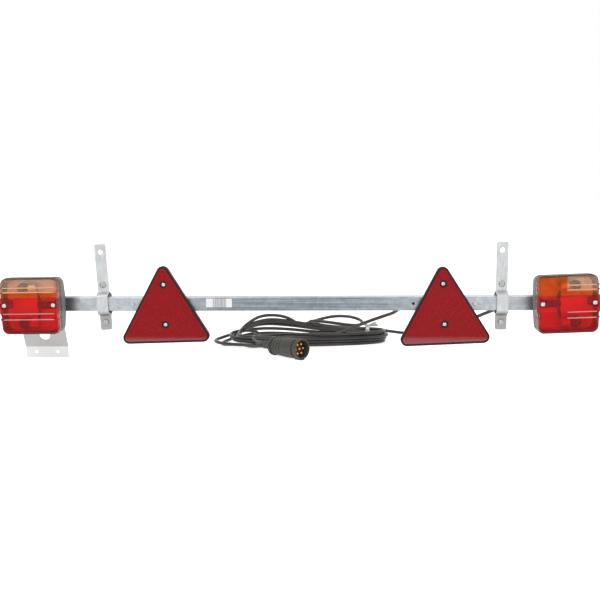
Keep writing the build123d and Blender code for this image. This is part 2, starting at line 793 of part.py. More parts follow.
def plug_rear_cover():
    back, flange = -plug_barrel - plug_cover, plug_flange - plug_barrel - plug_cover
    spigot = plug_radius - plug_wall - tie_gap
    tail_bore = (tail_height + plug_wall) / 2
    cover = turned([
        (tail_bore, back),
        (plug_flange_radius, back),
        (plug_flange_radius, flange),
        (plug_neck_radius, flange),
        (plug_radius, -plug_barrel - plug_wall),
        (plug_radius, -plug_barrel),
        (spigot, -plug_barrel),
        (spigot, plug_spigot - plug_barrel),
        (spigot - plug_wall, plug_spigot - plug_barrel),
        (spigot - plug_wall, -plug_barrel),
        (plug_neck_radius - plug_wall, flange),
        (tail_bore, flange),
    ])
    taper = (plug_radius - plug_neck_radius) / (plug_cover - plug_flange - plug_wall)
    for place in cover_grooves:
        floor = plug_radius - taper * place - plug_groove_depth
        ring = Cylinder(plug_radius + plug_wall, plug_groove_width / 2) - Cylinder(floor, plug_groove_width / 2)
        cover -= Pos(0, 0, -plug_barrel - plug_wall - place) * ring
    return cover


carrier_back = plug_spigot - plug_barrel


def plug_carrier():
    radius = plug_radius - plug_wall - tie_gap
    body = Pos(0, 0, carrier_back) * extrude(Circle(radius), amount=carrier_thickness)
    return body - plug_pins_cut()


def pin_places():
    return [Pos(0, 0)] + [Pos(*at.position) for at in PolarLocations(pin_circle, 6).locations]


def pin():
    length = pin_tail - carrier_back - pin_recess
    body = extrude(Circle(pin_radius), amount=length)
    body = fillet(body.edges().group_by(Axis.Z)[-1], pin_radius / 2)
    return Pos(0, 0, carrier_back - pin_tail) * body


def plug_pins_cut():
    hole = Pos(0, 0, carrier_back) * extrude(Circle(pin_radius), amount=carrier_thickness)
    return Part() + [place * hole for place in pin_places()]


def plug_tail():
    """Oblong cable grip: a collar inside the cover's end, then a tapered sleeve round both leads."""
    back = -plug_barrel - plug_cover
    collar = Pos(0, 0, back) * extrude(Circle((tail_height + plug_wall) / 2), amount=plug_flange)
    sleeve = Plane((0, 0, back), x_dir=(0, 1, 0), z_dir=(0, 0, -1)) * SlotOverall(tail_height, tail_width)
    return collar + extrude(sleeve, amount=tail_length, taper=1.0)


def plug_lead(step, entry):
    """Short stretch of one lead from the plug's tail into the hank."""
    place = plug_place()
    back = -plug_barrel - plug_cover - tail_length
    start = (place * Pos(0, step * lead_offset, back)).position
    clear = (place * Pos(0, step * lead_offset, back - 3 * lead_radius)).position
    bend = Vector(*above_floor(entry))
    middle = (clear + bend) / 2 + Vector(0, 0, -lead_radius)
    return [tuple(start), tuple(clear), tuple(middle), tuple(bend)]


plug_lead_entry = {1: (-98.0, 107.0, 20.0), -1: (-118.0, 110.0, 8.0)}


def build():
    sides = ("left", "right")
    nodes["crossbar"] = crossbar()
    nodes["bar_end_caps"] = [end_cap(side) for side in sides]
    nodes["bar_rivets"] = [bar_rivet(x) for x in bar_rivet_x]
    straps = [strap_place(side) for side in sides]
    for side, place in zip(sides, straps):
        nodes[f"{side}_strap_strip"] = place * strip()
        nodes[f"{side}_strap_saddle"] = place * saddle()
    nodes["clamp_bolts"] = [place * clamp_bolt(z) for place in straps for z in clamp_z]
    nodes["clamp_nuts"] = [place * clamp_nut(z) for place in straps for z in clamp_z]

    shell = lens_shell()
    half = 2 * lamp_height
    for side in sides:
        place = lamp_place(side)
        nodes[f"{side}_lamp_base"] = place * lamp_base(side)
        nodes[f"{side}_lamp_seal"] = place * seal()
        nodes[f"{side}_amber_lens"] = place * (shell & slab(colour_line, half))
        nodes[f"{side}_red_lens"] = place * (shell & slab(-half, colour_line))
        nodes[f"{side}_bulb_plate"] = place * bulb_plate()
        nodes[f"{side}_feed_grommet"] = place * feed_grommet(side)
        nodes[f"{side}_feed_lead"] = feed_lead(side)
        for bulb in bulb_z:
            at = bulb_place(side, bulb)
            nodes[f"{side}_{bulb}_bulb_glass"] = at * bulb_glass()
            nodes[f"{side}_{bulb}_bulb_cap"] = at * bulb_cap()
            nodes[f"{side}_{bulb}_holder"] = at * bulb_holder()
    ends = [(side, step) for side in sides for step in (-1, 1)]
    nodes["lens_screws"] = [lamp_place(side) * lens_screw(step * lens_screw_x) for side, step in ends]
    nodes["lamp_bolts"] = [lamp_place(side) * lamp_bolt(side, step) for side, step in ends]
    nodes["lamp_nuts"] = [lamp_place(side) * lamp_nut(side, step) for side, step in ends]
    nodes["number_plate_bracket"] = plate_bracket()

    for side in sides:
        place = reflector_place(side)
        nodes[f"{side}_reflector_tray"] = place * tray(side)
        nodes[f"{side}_reflector_prism"] = place * reflector_prism(side)
        nodes[f"{side}_reflector_clip"] = place * clip()
    screws = [(reflector_place(side), step * reflector_screw_half) for side, step in ends]
    nodes["reflector_screws"] = [place * reflector_screw(z) for place, z in screws]
    nodes["reflector_nuts"] = [place * reflector_nut(z) for place, z in screws]

    nodes["lead_grommets"] = [lead_grommet(lead_grommet_x[side]) for side in sides]
    bundle = hank()
    nodes["lead_hank"] = bundle
    nodes["hank_tie"] = tie(bundle)
    for side in sides:
        nodes[f"{side}_lead"] = route(f"{side}_lead", lead_points(side)) - bundle
    place = plug_place()
    nodes["plug_shell"] = place * plug_shell()
    nodes["plug_rear_cover"] = place * plug_rear_cover()
    nodes["plug_pin_carrier"] = place * plug_carrier()
    nodes["plug_pins"] = [place * at * pin() for at in pin_places()]
    nodes["plug_tail"] = place * plug_tail()
    for step, name in ((1, "left_plug_lead"), (-1, "right_plug_lead")):
        tube = route(name, plug_lead(step, plug_lead_entry[step]))
        nodes[name] = tube - bundle


build()
os.makedirs("parts", exist_ok=True)
for name, shape in nodes.items():
    solids = [solid for piece in (shape if isinstance(shape, list) else [shape]) for solid in piece.solids()]
    export_step(solids[0] if len(solids) == 1 else Compound(solids), f"parts/{name}.step")
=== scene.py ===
"""Dressed model of a trailer lighting board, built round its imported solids.

The board's frame has +X along the bar to the viewer's right, -Y towards the viewer behind the trailer and
+Z up, with the origin midway between the two strap holes. Sizes and places of pieces are in millimetres and
become metres through MM. The leads' lengths, the lights, the floor's reach, the camera's clip and places
inside materials are in metres.
"""

import json
import logging
import math
from dataclasses import dataclass, field, replace
from enum import Enum

import bpy
import numpy as np
from mathutils import Matrix, Vector


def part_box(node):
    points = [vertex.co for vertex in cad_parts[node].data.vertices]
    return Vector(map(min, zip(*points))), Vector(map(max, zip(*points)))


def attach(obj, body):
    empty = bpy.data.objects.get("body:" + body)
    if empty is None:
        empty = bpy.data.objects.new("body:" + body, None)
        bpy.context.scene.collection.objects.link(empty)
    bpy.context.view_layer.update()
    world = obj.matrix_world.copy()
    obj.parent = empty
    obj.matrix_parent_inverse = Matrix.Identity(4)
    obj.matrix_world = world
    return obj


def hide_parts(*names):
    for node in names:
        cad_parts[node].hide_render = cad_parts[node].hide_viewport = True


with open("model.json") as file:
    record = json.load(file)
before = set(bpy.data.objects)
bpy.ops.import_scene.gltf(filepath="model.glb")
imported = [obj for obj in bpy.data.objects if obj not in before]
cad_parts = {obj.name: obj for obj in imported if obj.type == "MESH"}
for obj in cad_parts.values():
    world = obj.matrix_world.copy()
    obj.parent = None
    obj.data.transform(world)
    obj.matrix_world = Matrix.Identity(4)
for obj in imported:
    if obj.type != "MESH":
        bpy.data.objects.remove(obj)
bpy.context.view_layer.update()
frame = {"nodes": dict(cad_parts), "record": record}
LOG = logging.getLogger("lighting_board")

Tree = bpy.types.NodeTree
Socket = bpy.types.NodeSocket
Shade = Socket | str
Pair = tuple[float, float]
Triple = tuple[float, float, float]
Surface = tuple[np.ndarray, list[np.ndarray]]

MM = 0.001
BAR_Z = -93.2
BAR_FRONT = -12.5
FLOOR_Z = -195.7
BODY = "root"
WHITE = (1.0, 1.0, 1.0, 1.0)
# Range in which nearly all values of Blender's noise lie, and how rough its finer detail is
NOISE_RANGE = (0.3, 0.7)
NOISE_ROUGHNESS = 0.6
# Waves of Blender's band texture over one metre at scale 1
WAVES_PER_METRE = 20 / (2 * math.pi)


def linear(hex_colour: str) -> tuple[float, float, float, float]:
    """Turn an sRGB hex colour into linear values.

    Args:
        hex_colour: six hex digits with a leading hash.

    Returns:
        Linear red, green and blue, and full opacity.
    """
    parts = [int(hex_colour[i:i + 2], 16) / 255 for i in (1, 3, 5)]
    lin = [c / 12.92 if c <= 0.04045 else ((c + 0.055) / 1.055) ** 2.4 for c in parts]
    return lin[0], lin[1], lin[2], 1.0


def add(tree: Tree, kind: str, inputs: dict | None = None, **settings: object) -> bpy.types.Node:
    """Add one node to a tree with its settings, values and links.

    Args:
        tree: node tree that takes the node.
        kind: Blender's name of the node type.
        inputs: socket name or number to a value, or to an output socket that is linked to it.
        settings: attributes of the node.

    Returns:
        The new node.
    """
    made = tree.nodes.new(kind)
    for name, value in settings.items():
        setattr(made, name, value)
    for key, value in (inputs or {}).items():
        if isinstance(value, Socket):
            tree.links.new(value, made.inputs[key])
        else:
            made.inputs[key].default_value = value
    return made


def ramp(
    tree: Tree, value: Socket, start: float, full: float, to: Pair = (0.0, 1.0), ease: bool = True
) -> Socket:
    """Ramp over a value, level beyond both of its ends.

    Args:
        tree: node tree that takes the ramp.
        value: value that it runs over.
        start: where it begins.
        full: where it is complete.
        to: result where it begins and where it is complete.
        ease: smooth at both ends, else straight.

    Returns:
        A value output.
    """
    return add(
        tree,
        "ShaderNodeMapRange",
        {"Value": value, "From Min": start, "From Max": full, "To Min": to[0], "To Max": to[1]},
        interpolation_type="SMOOTHSTEP" if ease else "LINEAR",
    ).outputs["Result"]


def mix(tree: Tree, share: Socket | float, under: Shade, over: Shade, how: str = "MIX") -> Socket:
    """Mix one colour over another.

    Args:
        tree: node tree that takes the mix.
        share: share of the second colour.
        under: first colour, an output or a hex colour.
        over: second colour, likewise.
        how: Blender's name of the way to mix.

    Returns:
        A colour output.
    """
    first, second = (shade if isinstance(shade, Socket) else linear(shade) for shade in (under, over))
    inputs = {0: share, 6: first, 7: second}
    return add(tree, "ShaderNodeMix", inputs, data_type="RGBA", blend_type=how).outputs[2]


def calc(tree: Tree, operation: str, first: Socket, second: Socket | float = 0.0) -> Socket:
    """Value output of one of Blender's operations on one value or two."""
    return add(tree, "ShaderNodeMath", {0: first, 1: second}, operation=operation).outputs[0]


def axes(tree: Tree, vector: Socket) -> bpy.types.NodeOutputs:
    """Outputs X, Y and Z of a vector."""
    return add(tree, "ShaderNodeSeparateXYZ", {"Vector": vector}).outputs


def link(name: str, data: bpy.types.ID) -> bpy.types.Object:
    """Make an object and link it to the scene.

    Args:
        name: name of the object.
        data: its mesh, curve, camera or light.

    Returns:
        The new object.
    """
    made = bpy.data.objects.new(name, data)
    bpy.context.scene.collection.objects.link(made)
    return made


def between(ends: Pair | tuple[np.ndarray, np.ndarray], share: np.ndarray) -> np.ndarray:
    """Values from the first end to the second, by shares from 0 to 1."""
    return ends[0] + (ends[1] - ends[0]) * share


class Side(Enum):
    """Side of the board as the viewer behind the trailer sees it."""

    LEFT = "left"
    RIGHT = "right"


@dataclass(frozen=True)
class Finish:
    """A surface: common name, the two colours of its mottling, and its shader values.

    The mottling is a noise of grain_mm, stretched along X, Y and Z by stretch, that shades the colour from
    dark to light and roughens and bumps the surface.
    """

    name: str
    dark: str
    light: str
    metallic: float = 0.0
    roughness: float = 0.5
    roughness_swing: float = 0.08
    ior: float = 1.5
    specular: float = 0.5
    grain_mm: float = 2.0
    stretch: Triple = (1.0, 1.0, 1.0)
    bump: float = 0.05
    bump_mm: float = 0.1
    transmission: float = 0.0
    detail: float = 4.0

    def colour(self, tree: Tree, coords: Socket, noise: Socket) -> Socket:
        """Colour of the surface.

        Args:
            tree: node tree of the material.
            coords: Object coordinates.
            noise: the mottling, 0 to 1.

        Returns:
            A colour output.
        """
        return mix(tree, ramp(tree, noise, *NOISE_RANGE, ease=False), self.dark, self.light)

    def height(self, tree: Tree, coords: Socket, noise: Socket) -> Socket:
        """Value output that bumps the surface: the mottling, unless a finish has its own."""
        return noise

    def material(self) -> bpy.types.Material:
        """Make the material once and give it back after that.

        Returns:
            The Blender material of this finish.
        """
        known = bpy.data.materials.get(self.name)
        if known is not None:
            return known
        made = bpy.data.materials.new(self.name)
        made.use_nodes = True
        tree = made.node_tree
        shader = tree.nodes["Principled BSDF"]
        coords = add(tree, "ShaderNodeTexCoord").outputs["Object"]
        scale = tuple(1.0 / (self.grain_mm * MM * s) for s in self.stretch)
        mapped = add(tree, "ShaderNodeMapping", {"Vector": coords, "Scale": scale}).outputs["Vector"]
        noise = add(
            tree,
            "ShaderNodeTexNoise",
            {"Vector": mapped, "Scale": 1.0, "Detail": self.detail, "Roughness": NOISE_ROUGHNESS},
        ).outputs["Fac"]
        tree.links.new(self.colour(tree, coords, noise), shader.inputs["Base Color"])
        low, high = self.roughness - self.roughness_swing, self.roughness + self.roughness_swing
        rough = ramp(tree, noise, *NOISE_RANGE, to=(low, high), ease=False)
        tree.links.new(rough, shader.inputs["Roughness"])
        height = self.height(tree, coords, noise)
        bump = add(
            tree, "ShaderNodeBump", {"Height": height, "Strength": self.bump, "Distance": self.bump_mm * MM}
        ).outputs["Normal"]
        tree.links.new(bump, shader.inputs["Normal"])
        shader.inputs["Metallic"].default_value = self.metallic
        shader.inputs["IOR"].default_value = self.ior
        shader.inputs["Specular IOR Level"].default_value = self.specular
        shader.inputs["Transmission Weight"].default_value = self.transmission
        return made


@dataclass(frozen=True)
class BandedFinish(Finish):
    """A finish whose colour changes over its height, in bands of painted shade, painted highlight, painted
    reflection and colour.

    Each band is a colour, the height in metres where it begins to show and the height from which it is full.
    Where span is given, the bands show only beyond its first X and are full from its second.
    """

    bands: tuple[tuple[str, float, float], ...] = ()
    span: Pair | None = None

    def colour(self, tree: Tree, coords: Socket, noise: Socket) -> Socket:
        """Mottled colour, then each band mixed over it by height.

        Args:
            tree: node tree of the material.
            coords: Object coordinates.
            noise: the mottling, 0 to 1.

        Returns:
            A colour output.
        """
        mixed = super().colour(tree, coords, noise)
        place = axes(tree, coords)
        for tint, begins, full in self.bands:
            share = ramp(tree, place["Z"], begins, full)
            if self.span is not None:
                share = calc(tree, "MULTIPLY", share, ramp(tree, place["X"], *self.span))
            mixed = mix(tree, share, mixed, tint)
        return mixed


@dataclass(frozen=True)
class GalvanisedTube(Finish):
    """Hot-dip galvanised steel: draw lines, faint spangle, brighter zinc by the straps, painted top
    highlight, painted shade by lamps.

    Bright, upper and the painted shade each hold a colour, where it begins to show, where it is full, and its
    share there. Upper is a painted highlight along the top of the bar, and the painted shade darkens the
    stretch beside each lamp. Bright and the painted shade go by the distance from the middle of the bar,
    upper by the height.
    """

    spangle_mm: float = 7.0
    spangle: tuple[str, str] = ("#DDDFE1", "#FFFFFF")
    spangle_share: float = 0.8
    bright: tuple[str, float, float, float] = ("#D8DDE1", 0.085, 0.3, 0.5)
    # Painted highlight along the top of the bar
    upper: tuple[str, float, float, float] = ("#F4F6F7", -0.0822, -0.0808, 0.5)
    # Painted shade over the stretch beside each lamp
    painted_lamp_shade: tuple[str, float, float, float] = ("#55565A", 0.392, 0.414, 0.85)

    def colour(self, tree: Tree, coords: Socket, noise: Socket) -> Socket:
        """Streaked zinc with spangle cells, brighter outwards, a painted highlight on top and painted shade
        over the stretch by each end.

        Args:
            tree: node tree of the material.
            coords: Object coordinates.
            noise: the draw lines, 0 to 1.

        Returns:
            A colour output.
        """
        mixed = super().colour(tree, coords, noise)
        place = axes(tree, coords)
        away = calc(tree, "ABSOLUTE", place["X"])
        # Brighter zinc outwards, and the upper band is a painted highlight along the top of the bar
        for where, (tint, begins, full, most) in ((away, self.bright), (place["Z"], self.upper)):
            mixed = mix(tree, ramp(tree, where, begins, full, (0.0, most)), mixed, tint)
        cells = add(tree, "ShaderNodeTexVoronoi", {"Vector": coords, "Scale": 1.0 / (self.spangle_mm * MM)})
        grey = add(tree, "ShaderNodeSeparateColor", {"Color": cells.outputs["Color"]}).outputs["Red"]
        mixed = mix(tree, self.spangle_share, mixed, mix(tree, grey, *self.spangle), "MULTIPLY")
        # Painted shade beside each lamp
        tint, begins, full, most = self.painted_lamp_shade
        return mix(tree, ramp(tree, away, begins, full, (0.0, most)), mixed, tint)


@dataclass(frozen=True)
class FlutedLens(BandedFinish):
    """Clear coloured acrylic, injection moulded: glossy, with faint upright flutes and dark thick walls.

    The front's colour grows over the two values of front, as the surface turns to face along Y, and over the
    two depths of rim. Painted light makes the wall beside the bar paler: it grows over the two values of
    side, as the surface turns to face along X, and over the two distances of inner from the middle of the
    bar.
    """

    roughness: float = 0.03
    roughness_swing: float = 0.01
    ior: float = 1.24
    specular: float = 0.05
    grain_mm: float = 14.0
    bump: float = 0.02
    bump_mm: float = 0.2
    transmission: float = 0.88
    detail: float = 1.0
    flute_mm: float = 3.2
    wall: str = "#000000"
    front: Pair = (0.45, 0.9)
    rim: Pair = (-0.050, -0.053)
    painted_wall_light: str = "#F0C0B8"
    side: Pair = (0.3, 0.8)
    inner: Pair = (0.450, 0.435)

    def colour(self, tree: Tree, coords: Socket, noise: Socket) -> Socket:
        """Banded colour over the front, dark where the surface turns away, with painted light on the wall
        beside the bar.

        Args:
            tree: node tree of the material.
            coords: Object coordinates.
            noise: the mottling, 0 to 1.

        Returns:
            A colour output.
        """
        front = super().colour(tree, coords, noise)
        facing = axes(tree, add(tree, "ShaderNodeTexCoord").outputs["Normal"])
        place = axes(tree, coords)
        turned = ramp(tree, calc(tree, "ABSOLUTE", facing["Y"]), *self.front)
        share = calc(tree, "MULTIPLY", turned, ramp(tree, place["Y"], *self.rim, ease=False))
        # Painted light: the wall beside the bar is paler, as if the bar lit it
        sideways = ramp(tree, calc(tree, "ABSOLUTE", facing["X"]), *self.side)
        beside = ramp(tree, calc(tree, "ABSOLUTE", place["X"]), *self.inner, ease=False)
        wall = mix(tree, calc(tree, "MULTIPLY", sideways, beside), self.wall, self.painted_wall_light)
        return mix(tree, share, wall, front)

    def height(self, tree: Tree, coords: Socket, noise: Socket) -> Socket:
        """Rounded upright flutes, one every flute_mm.

        Args:
            tree: node tree of the material.
            coords: Object coordinates.
            noise: the mottling, not used here.

        Returns:
            A value output.
        """
        scale = 1.0 / (self.flute_mm * MM * WAVES_PER_METRE)
        return add(
            tree,
            "ShaderNodeTexWave",
            {"Vector": coords, "Scale": scale, "Distortion": 0.0},
            wave_type="BANDS",
            bands_direction="X",
        ).outputs["Fac"]


@dataclass(frozen=True)
class StickerPaper(Finish):
    """White gummed paper with plain grey upright bars over its right part.

    Bars stand between the two X of bars, where a noise along X of bar_mm rises above ink_over.
    """

    bars: Pair = (-0.1545, -0.1310)
    bar_mm: float = 1.1
    ink: str = "#A3A1AB"
    ink_over: float = 0.46

    def colour(self, tree: Tree, coords: Socket, noise: Socket) -> Socket:
        """White paper, with bars of uneven width over its right part.

        Args:
            tree: node tree of the material.
            coords: Object coordinates.
            noise: the paper's mottling, 0 to 1.

        Returns:
            A colour output.
        """
        paper = super().colour(tree, coords, noise)
        along = axes(tree, coords)["X"]
        one_way = add(tree, "ShaderNodeCombineXYZ", {"X": along}).outputs["Vector"]
        uneven = add(
            tree,
            "ShaderNodeTexNoise",
            {"Vector": one_way, "Scale": 1 / (self.bar_mm * MM), "Detail": 0.0},
        ).outputs["Fac"]
        share = calc(tree, "GREATER_THAN", uneven, self.ink_over)
        for edge, test in zip(self.bars, ("GREATER_THAN", "LESS_THAN")):
            share = calc(tree, "MULTIPLY", share, calc(tree, test, along, edge))
        return mix(tree, share, paper, self.ink)


# What each surface is, how it was made, and what that gives the eye
FINISHES: dict[str, Finish] = {
    # Galvanised tube: streaks along the drawing direction, so the noise runs 60 times longer along X
    "galvanised": GalvanisedTube(
        "galvanised steel, drawn tube", "#6A727A", "#A3ABB1", metallic=0.6, roughness=0.36, grain_mm=2.2,
        stretch=(60.0, 1.0, 1.0), bump=0.12, bump_mm=0.05,
    ),
    # Zinc plated sheet: pale, satin, with faint rolling marks along Z; below the bar painted shade greys the
    # sloping plate, and a painted highlight whitens it at the bend and below
    "zinc_plate": BandedFinish(
        "zinc plated steel, rolled sheet", "#BFC1C2", "#CED0D1", metallic=0.5, roughness=0.4,
        roughness_swing=0.05, grain_mm=4.0, stretch=(1.0, 1.0, 6.0), bump=0.04, bump_mm=0.04,
        bands=(("#C3C0BF", -0.104, -0.110), ("#EEEEEE", -0.1735, -0.1755)),
    ),
    # Bright zinc on headed and turned pieces
    "zinc_bolt": Finish(
        "zinc plated steel, cold headed", "#C4C5C3", "#E8E6E5", metallic=0.85, roughness=0.24, grain_mm=1.2,
    ),
    # Rivets: drawn aluminium, so a soft grey sheen
    "rivet_aluminium": Finish(
        "aluminium, drawn rivet", "#9DA1A4", "#BFC2C5", metallic=0.85, roughness=0.35, grain_mm=0.8,
    ),
    # Black mouldings: nearly matt, with a fine skin that breaks up the light
    "black_plastic": Finish(
        "polyethylene, moulded black", "#141416", "#1E1E21", roughness=0.5, specular=0.3, grain_mm=0.8,
        bump=0.1,
    ),
    # Lamp base: grained mould, so a fine stipple breaks its highlight
    "lamp_base": Finish(
        "polypropylene, moulded grey", "#807A7B", "#908A8B", roughness=0.55, specular=0.3, grain_mm=0.9,
        bump=0.15, bump_mm=0.08,
    ),
    # Rubber: the dullest black, with hardly any highlight
    "rubber": Finish("rubber, moulded", "#141414", "#1F1E1D", roughness=0.75, grain_mm=0.7, bump=0.12),
    # Lenses: clear coloured acrylic, so the bulbs and their holders show through; a painted reflection makes
    # the amber paler above its ribs; red brighter on its belt
    "amber_lens": FlutedLens(
        "acrylic, moulded amber", "#EE832C", "#FA9538", wall="#7A4018",
        # Painted reflection: paler amber above the ribs
        bands=(("#FFE4CE", -0.0680, -0.0645),),
    ),
    "red_lens": FlutedLens(
        "acrylic, moulded red", "#EC171D", "#F82127", wall="#62070C",
        bands=(("#FF3034", -0.1035, -0.1015),),
    ),
    # Tin plate: pale with a blurred sheen, so it brightens the lens in front of it
    "reflector_tin": Finish(
        "tin plate, pressed", "#E2E2DF", "#F6F6F4", metallic=0.25, roughness=0.35, grain_mm=2.5,
    ),
    # Lead sheath: soft vinyl, grey where light falls on it, with a faint waxy highlight
    "lead_sheath": Finish(
        "vinyl sheath, extruded", "#272321", "#393532", roughness=0.24, roughness_swing=0.04, specular=0.55,
        grain_mm=3.0, bump=0.06,
    ),
    # Bulbs: dark grey glass, dark behind the coloured lenses
    "bulb_glass": Finish(
        "soda glass, blown", "#2A2625", "#4A4442", roughness=0.08, roughness_swing=0.02, transmission=0.3,
        grain_mm=10.0, bump=0.0, ior=1.45,
    ),
    # Brass: turned bright, so a warm yellow sheen
    "brass": Finish("brass, turned", "#C89652", "#E6BC80", metallic=0.9, roughness=0.3, grain_mm=0.7),
    # Reflector trays: black with a faint red cast, nearly matt
    "reflector_tray": Finish(
        "polystyrene, moulded black", "#21171A", "#2E2023", roughness=0.45, specular=0.2, grain_mm=0.9,
        bump=0.12,
    ),
    # Reflector: cube corner cells behind a flat face, with a paler band along the foot, a painted reflection
    # of the floor
    "reflector_red": BandedFinish(
        "acrylic, moulded prism red", "#8E1117", "#A5161D", roughness=0.25, roughness_swing=0.06, ior=1.49,
        specular=0.14, grain_mm=5.0, bump=0.03, bands=(("#A8555C", -0.149, -0.158),),
    ),
    # Tape: thin and clear, so pale and partly see-through
    "tie": Finish(
        "polyethylene tape, cast clear", "#D2D1CF", "#F2F1F0", roughness=0.25, grain_mm=1.5, bump=0.1,
        transmission=0.25,
    ),
    # Plug: tough moulding with a grained skin, so a dull dark grey
    "plug_plastic": Finish(
        "polyamide, moulded dark grey", "#403F3B", "#53524D", roughness=0.5, specular=0.35, grain_mm=0.8,
        bump=0.15, bump_mm=0.08,
    ),
    # Pin carrier: pressed resin, brown with a low sheen
    "pin_carrier": Finish(
        "phenolic resin, pressed brown", "#74400F", "#96581C", roughness=0.4, specular=0.3, grain_mm=1.0,
        bump=0.1,
    ),
}
# Crowns of the lens ribs: a painted highlight, paler than the lens they stand on
RIB_HIGHLIGHTS: dict[str, Finish] = {
    "amber_lens": Finish(
        "acrylic, amber rib, painted highlight", "#E89A60", "#F4B484", roughness=0.2, specular=0.4, grain_mm=9.0,
    ),
    "red_lens": Finish(
        "acrylic, red rib, painted highlight", "#DE7478", "#EE9C9C", roughness=0.2, specular=0.4, grain_mm=9.0,
    ),
}
# Straps: rolled strip, with painted shade greying the lower tabs below the bar
STRAP = BandedFinish(
    "zinc plated steel, rolled strip", "#B4B7B9", "#D6D8D9", metallic=0.5, roughness=0.4,
    roughness_swing=0.05, grain_mm=3.2, stretch=(1.0, 1.0, 6.0), bump=0.05, bump_mm=0.05,
    bands=(("#A5A5A5", -0.104, -0.110),),
)
# Clamp bolts and nuts: tumbled, so duller than the screws
CLAMP_BOLT = Finish(
    "zinc plated steel, tumbled", "#7E807F", "#C6C5C3", metallic=0.85, roughness=0.3, grain_mm=2.4, bump=0.1,
)
# Pieces whose surface differs from their slot's; the right amber lens has its painted reflection only over
# its outer half
NODE_FINISHES: dict[str, Finish] = {
    **{f"{side.value}_strap_{piece}": STRAP for side in Side for piece in ("strip", "saddle")},
    "right_amber_lens": replace(
        FINISHES["amber_lens"], name="acrylic, moulded amber, painted reflection over one half", span=(0.455, 0.461)
    ),
    "clamp_bolts": CLAMP_BOLT,
    "clamp_nuts": CLAMP_BOLT,
}
# Sticker: uncoated paper, white and matt
STICKER = StickerPaper("paper, gummed white", "#F8F8FB", "#FFFFFF", roughness=0.6, grain_mm=1.5, bump=0.04)


def grid_faces(rows: int, cols: int, wrap_rows: bool = False, wrap_cols: bool = False) -> np.ndarray:
    """Quads of a rows by cols grid of vertices.

    Args:
        rows: vertices along the first parameter.
        cols: vertices along the second parameter.
        wrap_rows: join the last row to the first.
        wrap_cols: join the last column to the first.

    Returns:
        Vertex numbers, one row of four for each face.
    """
    r = np.arange(rows if wrap_rows else rows - 1)[:, None]
    c = np.arange(cols if wrap_cols else cols - 1)[None, :]
    r2, c2 = (r + 1) % rows, (c + 1) % cols
    quads = np.stack([r * cols + c, r * cols + c2, r2 * cols + c2, r2 * cols + c], axis=-1)
    return quads.reshape(-1, 4)


def capped_tube(rows: int, cols: int, mirrored: bool = False) -> list[np.ndarray]:
    """Faces of a tube of rows rings with cols vertices each, closed by one flat face at both ends.

    Args:
        rows: rings along the tube.
        cols: vertices around it.
        mirrored: turn the end faces over, for rings that run the other way round.

    Returns:
        Arrays of vertex numbers, one row for each face.
    """
    ends = [np.arange(cols)[None, ::-1], (rows - 1) * cols + np.arange(cols)[None, :]]
    return [grid_faces(rows, cols, wrap_cols=True), *(end[:, ::-1] if mirrored else end for end in ends)]


def superellipse(around: int, power: int) -> tuple[np.ndarray, np.ndarray]:
    """Rounded square of half width 1: X and Z to the given power add up to 1.

    Args:
        around: number of points.
        power: the power; the corners are the sharper the higher it is.

    Returns:
        X and Z of the points, one column each.
    """
    turn = np.linspace(0.0, 2 * math.pi, around, endpoint=False)[:, None]
    c, d = np.cos(turn), np.sin(turn)
    swell = (np.abs(c) ** power + np.abs(d) ** power) ** (-1 / power)
    return swell * c, swell * d


def put_mesh(
    name: str, points: np.ndarray, faces: list[np.ndarray], smooth_deg: float = 40.0
) -> bpy.types.Object:
    """Put worked-out points and faces into a mesh object at the origin.

    Args:
        name: name of the piece.
        points: vertices, one row of three each, in millimetres.
        faces: arrays of vertex numbers, one row for each face.
        smooth_deg: edges sharper than this stay sharp.

    Returns:
        The new object, riding on the board.
    """
    mesh = bpy.data.meshes.new(name)
    rows = [row for part in faces for row in part.tolist()]
    mesh.from_pydata((points.reshape(-1, 3) * MM).tolist(), [], rows)
    mesh.polygons.foreach_set("use_smooth", np.ones(len(mesh.polygons), dtype=bool))
    mesh.set_sharp_from_angle(angle=math.radians(smooth_deg))
    mesh.update()
    made = link(name, mesh)
    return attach(made, BODY)


def dress(piece: bpy.types.Object, slot: str, finish: Finish | None = None) -> None:
    """Give a new piece its finish and log its slot.

    Args:
        piece: the piece.
        slot: material slot of the record.
        finish: finish where it isn't the slot's own.
    """
    piece.data.materials.append((finish or FINISHES[slot]).material())
    LOG.info("piece %s in %s", piece.name, slot)


@dataclass(frozen=True)
class Tilt:
    """Place of a sub-assembly: a point of the board and a turn in its plane, anticlockwise to the viewer."""

    x: float
    y: float
    z: float
    degrees: float

    def place(self, local: Surface) -> Surface:
        """Turn the points of a surface about Y and move them to the place.

        Args:
            local: points, the last axis being X, Y and Z, and faces.

        Returns:
            Points in the board's frame, and the same faces.
        """
        c, s = math.cos(math.radians(self.degrees)), math.sin(math.radians(self.degrees))
        x, y, z = np.moveaxis(local[0], -1, 0)
        return np.stack([self.x + c * x - s * z, self.y + y, self.z + s * x + c * z], axis=-1), local[1]


@dataclass
class Camera:
    """Camera at the photograph's viewing angle."""

    position: Triple = (74.6, -1456.5, 90.1)
    target: Triple = (1.65, -12.5, -86.2)
    roll: float = -0.491
    focal: float = 49.16
    sensor: float = 36.0
    clip: Pair = (0.05, 50.0)

    def build(self) -> None:
        """Make the camera and set it as the scene's."""
        data = bpy.data.cameras.new("camera")
        data.lens, data.sensor_width, data.sensor_fit = self.focal, self.sensor, "HORIZONTAL"
        data.clip_start, data.clip_end = self.clip
        made = link("camera", data)
        eye, aim = Vector(self.position) * MM, Vector(self.target) * MM
        turn = (aim - eye).to_track_quat("-Z", "Y").to_matrix().to_4x4()
        made.matrix_world = Matrix.Translation(eye) @ turn @ Matrix.Rotation(math.radians(self.roll), 4, "Z")
        bpy.context.scene.camera = made


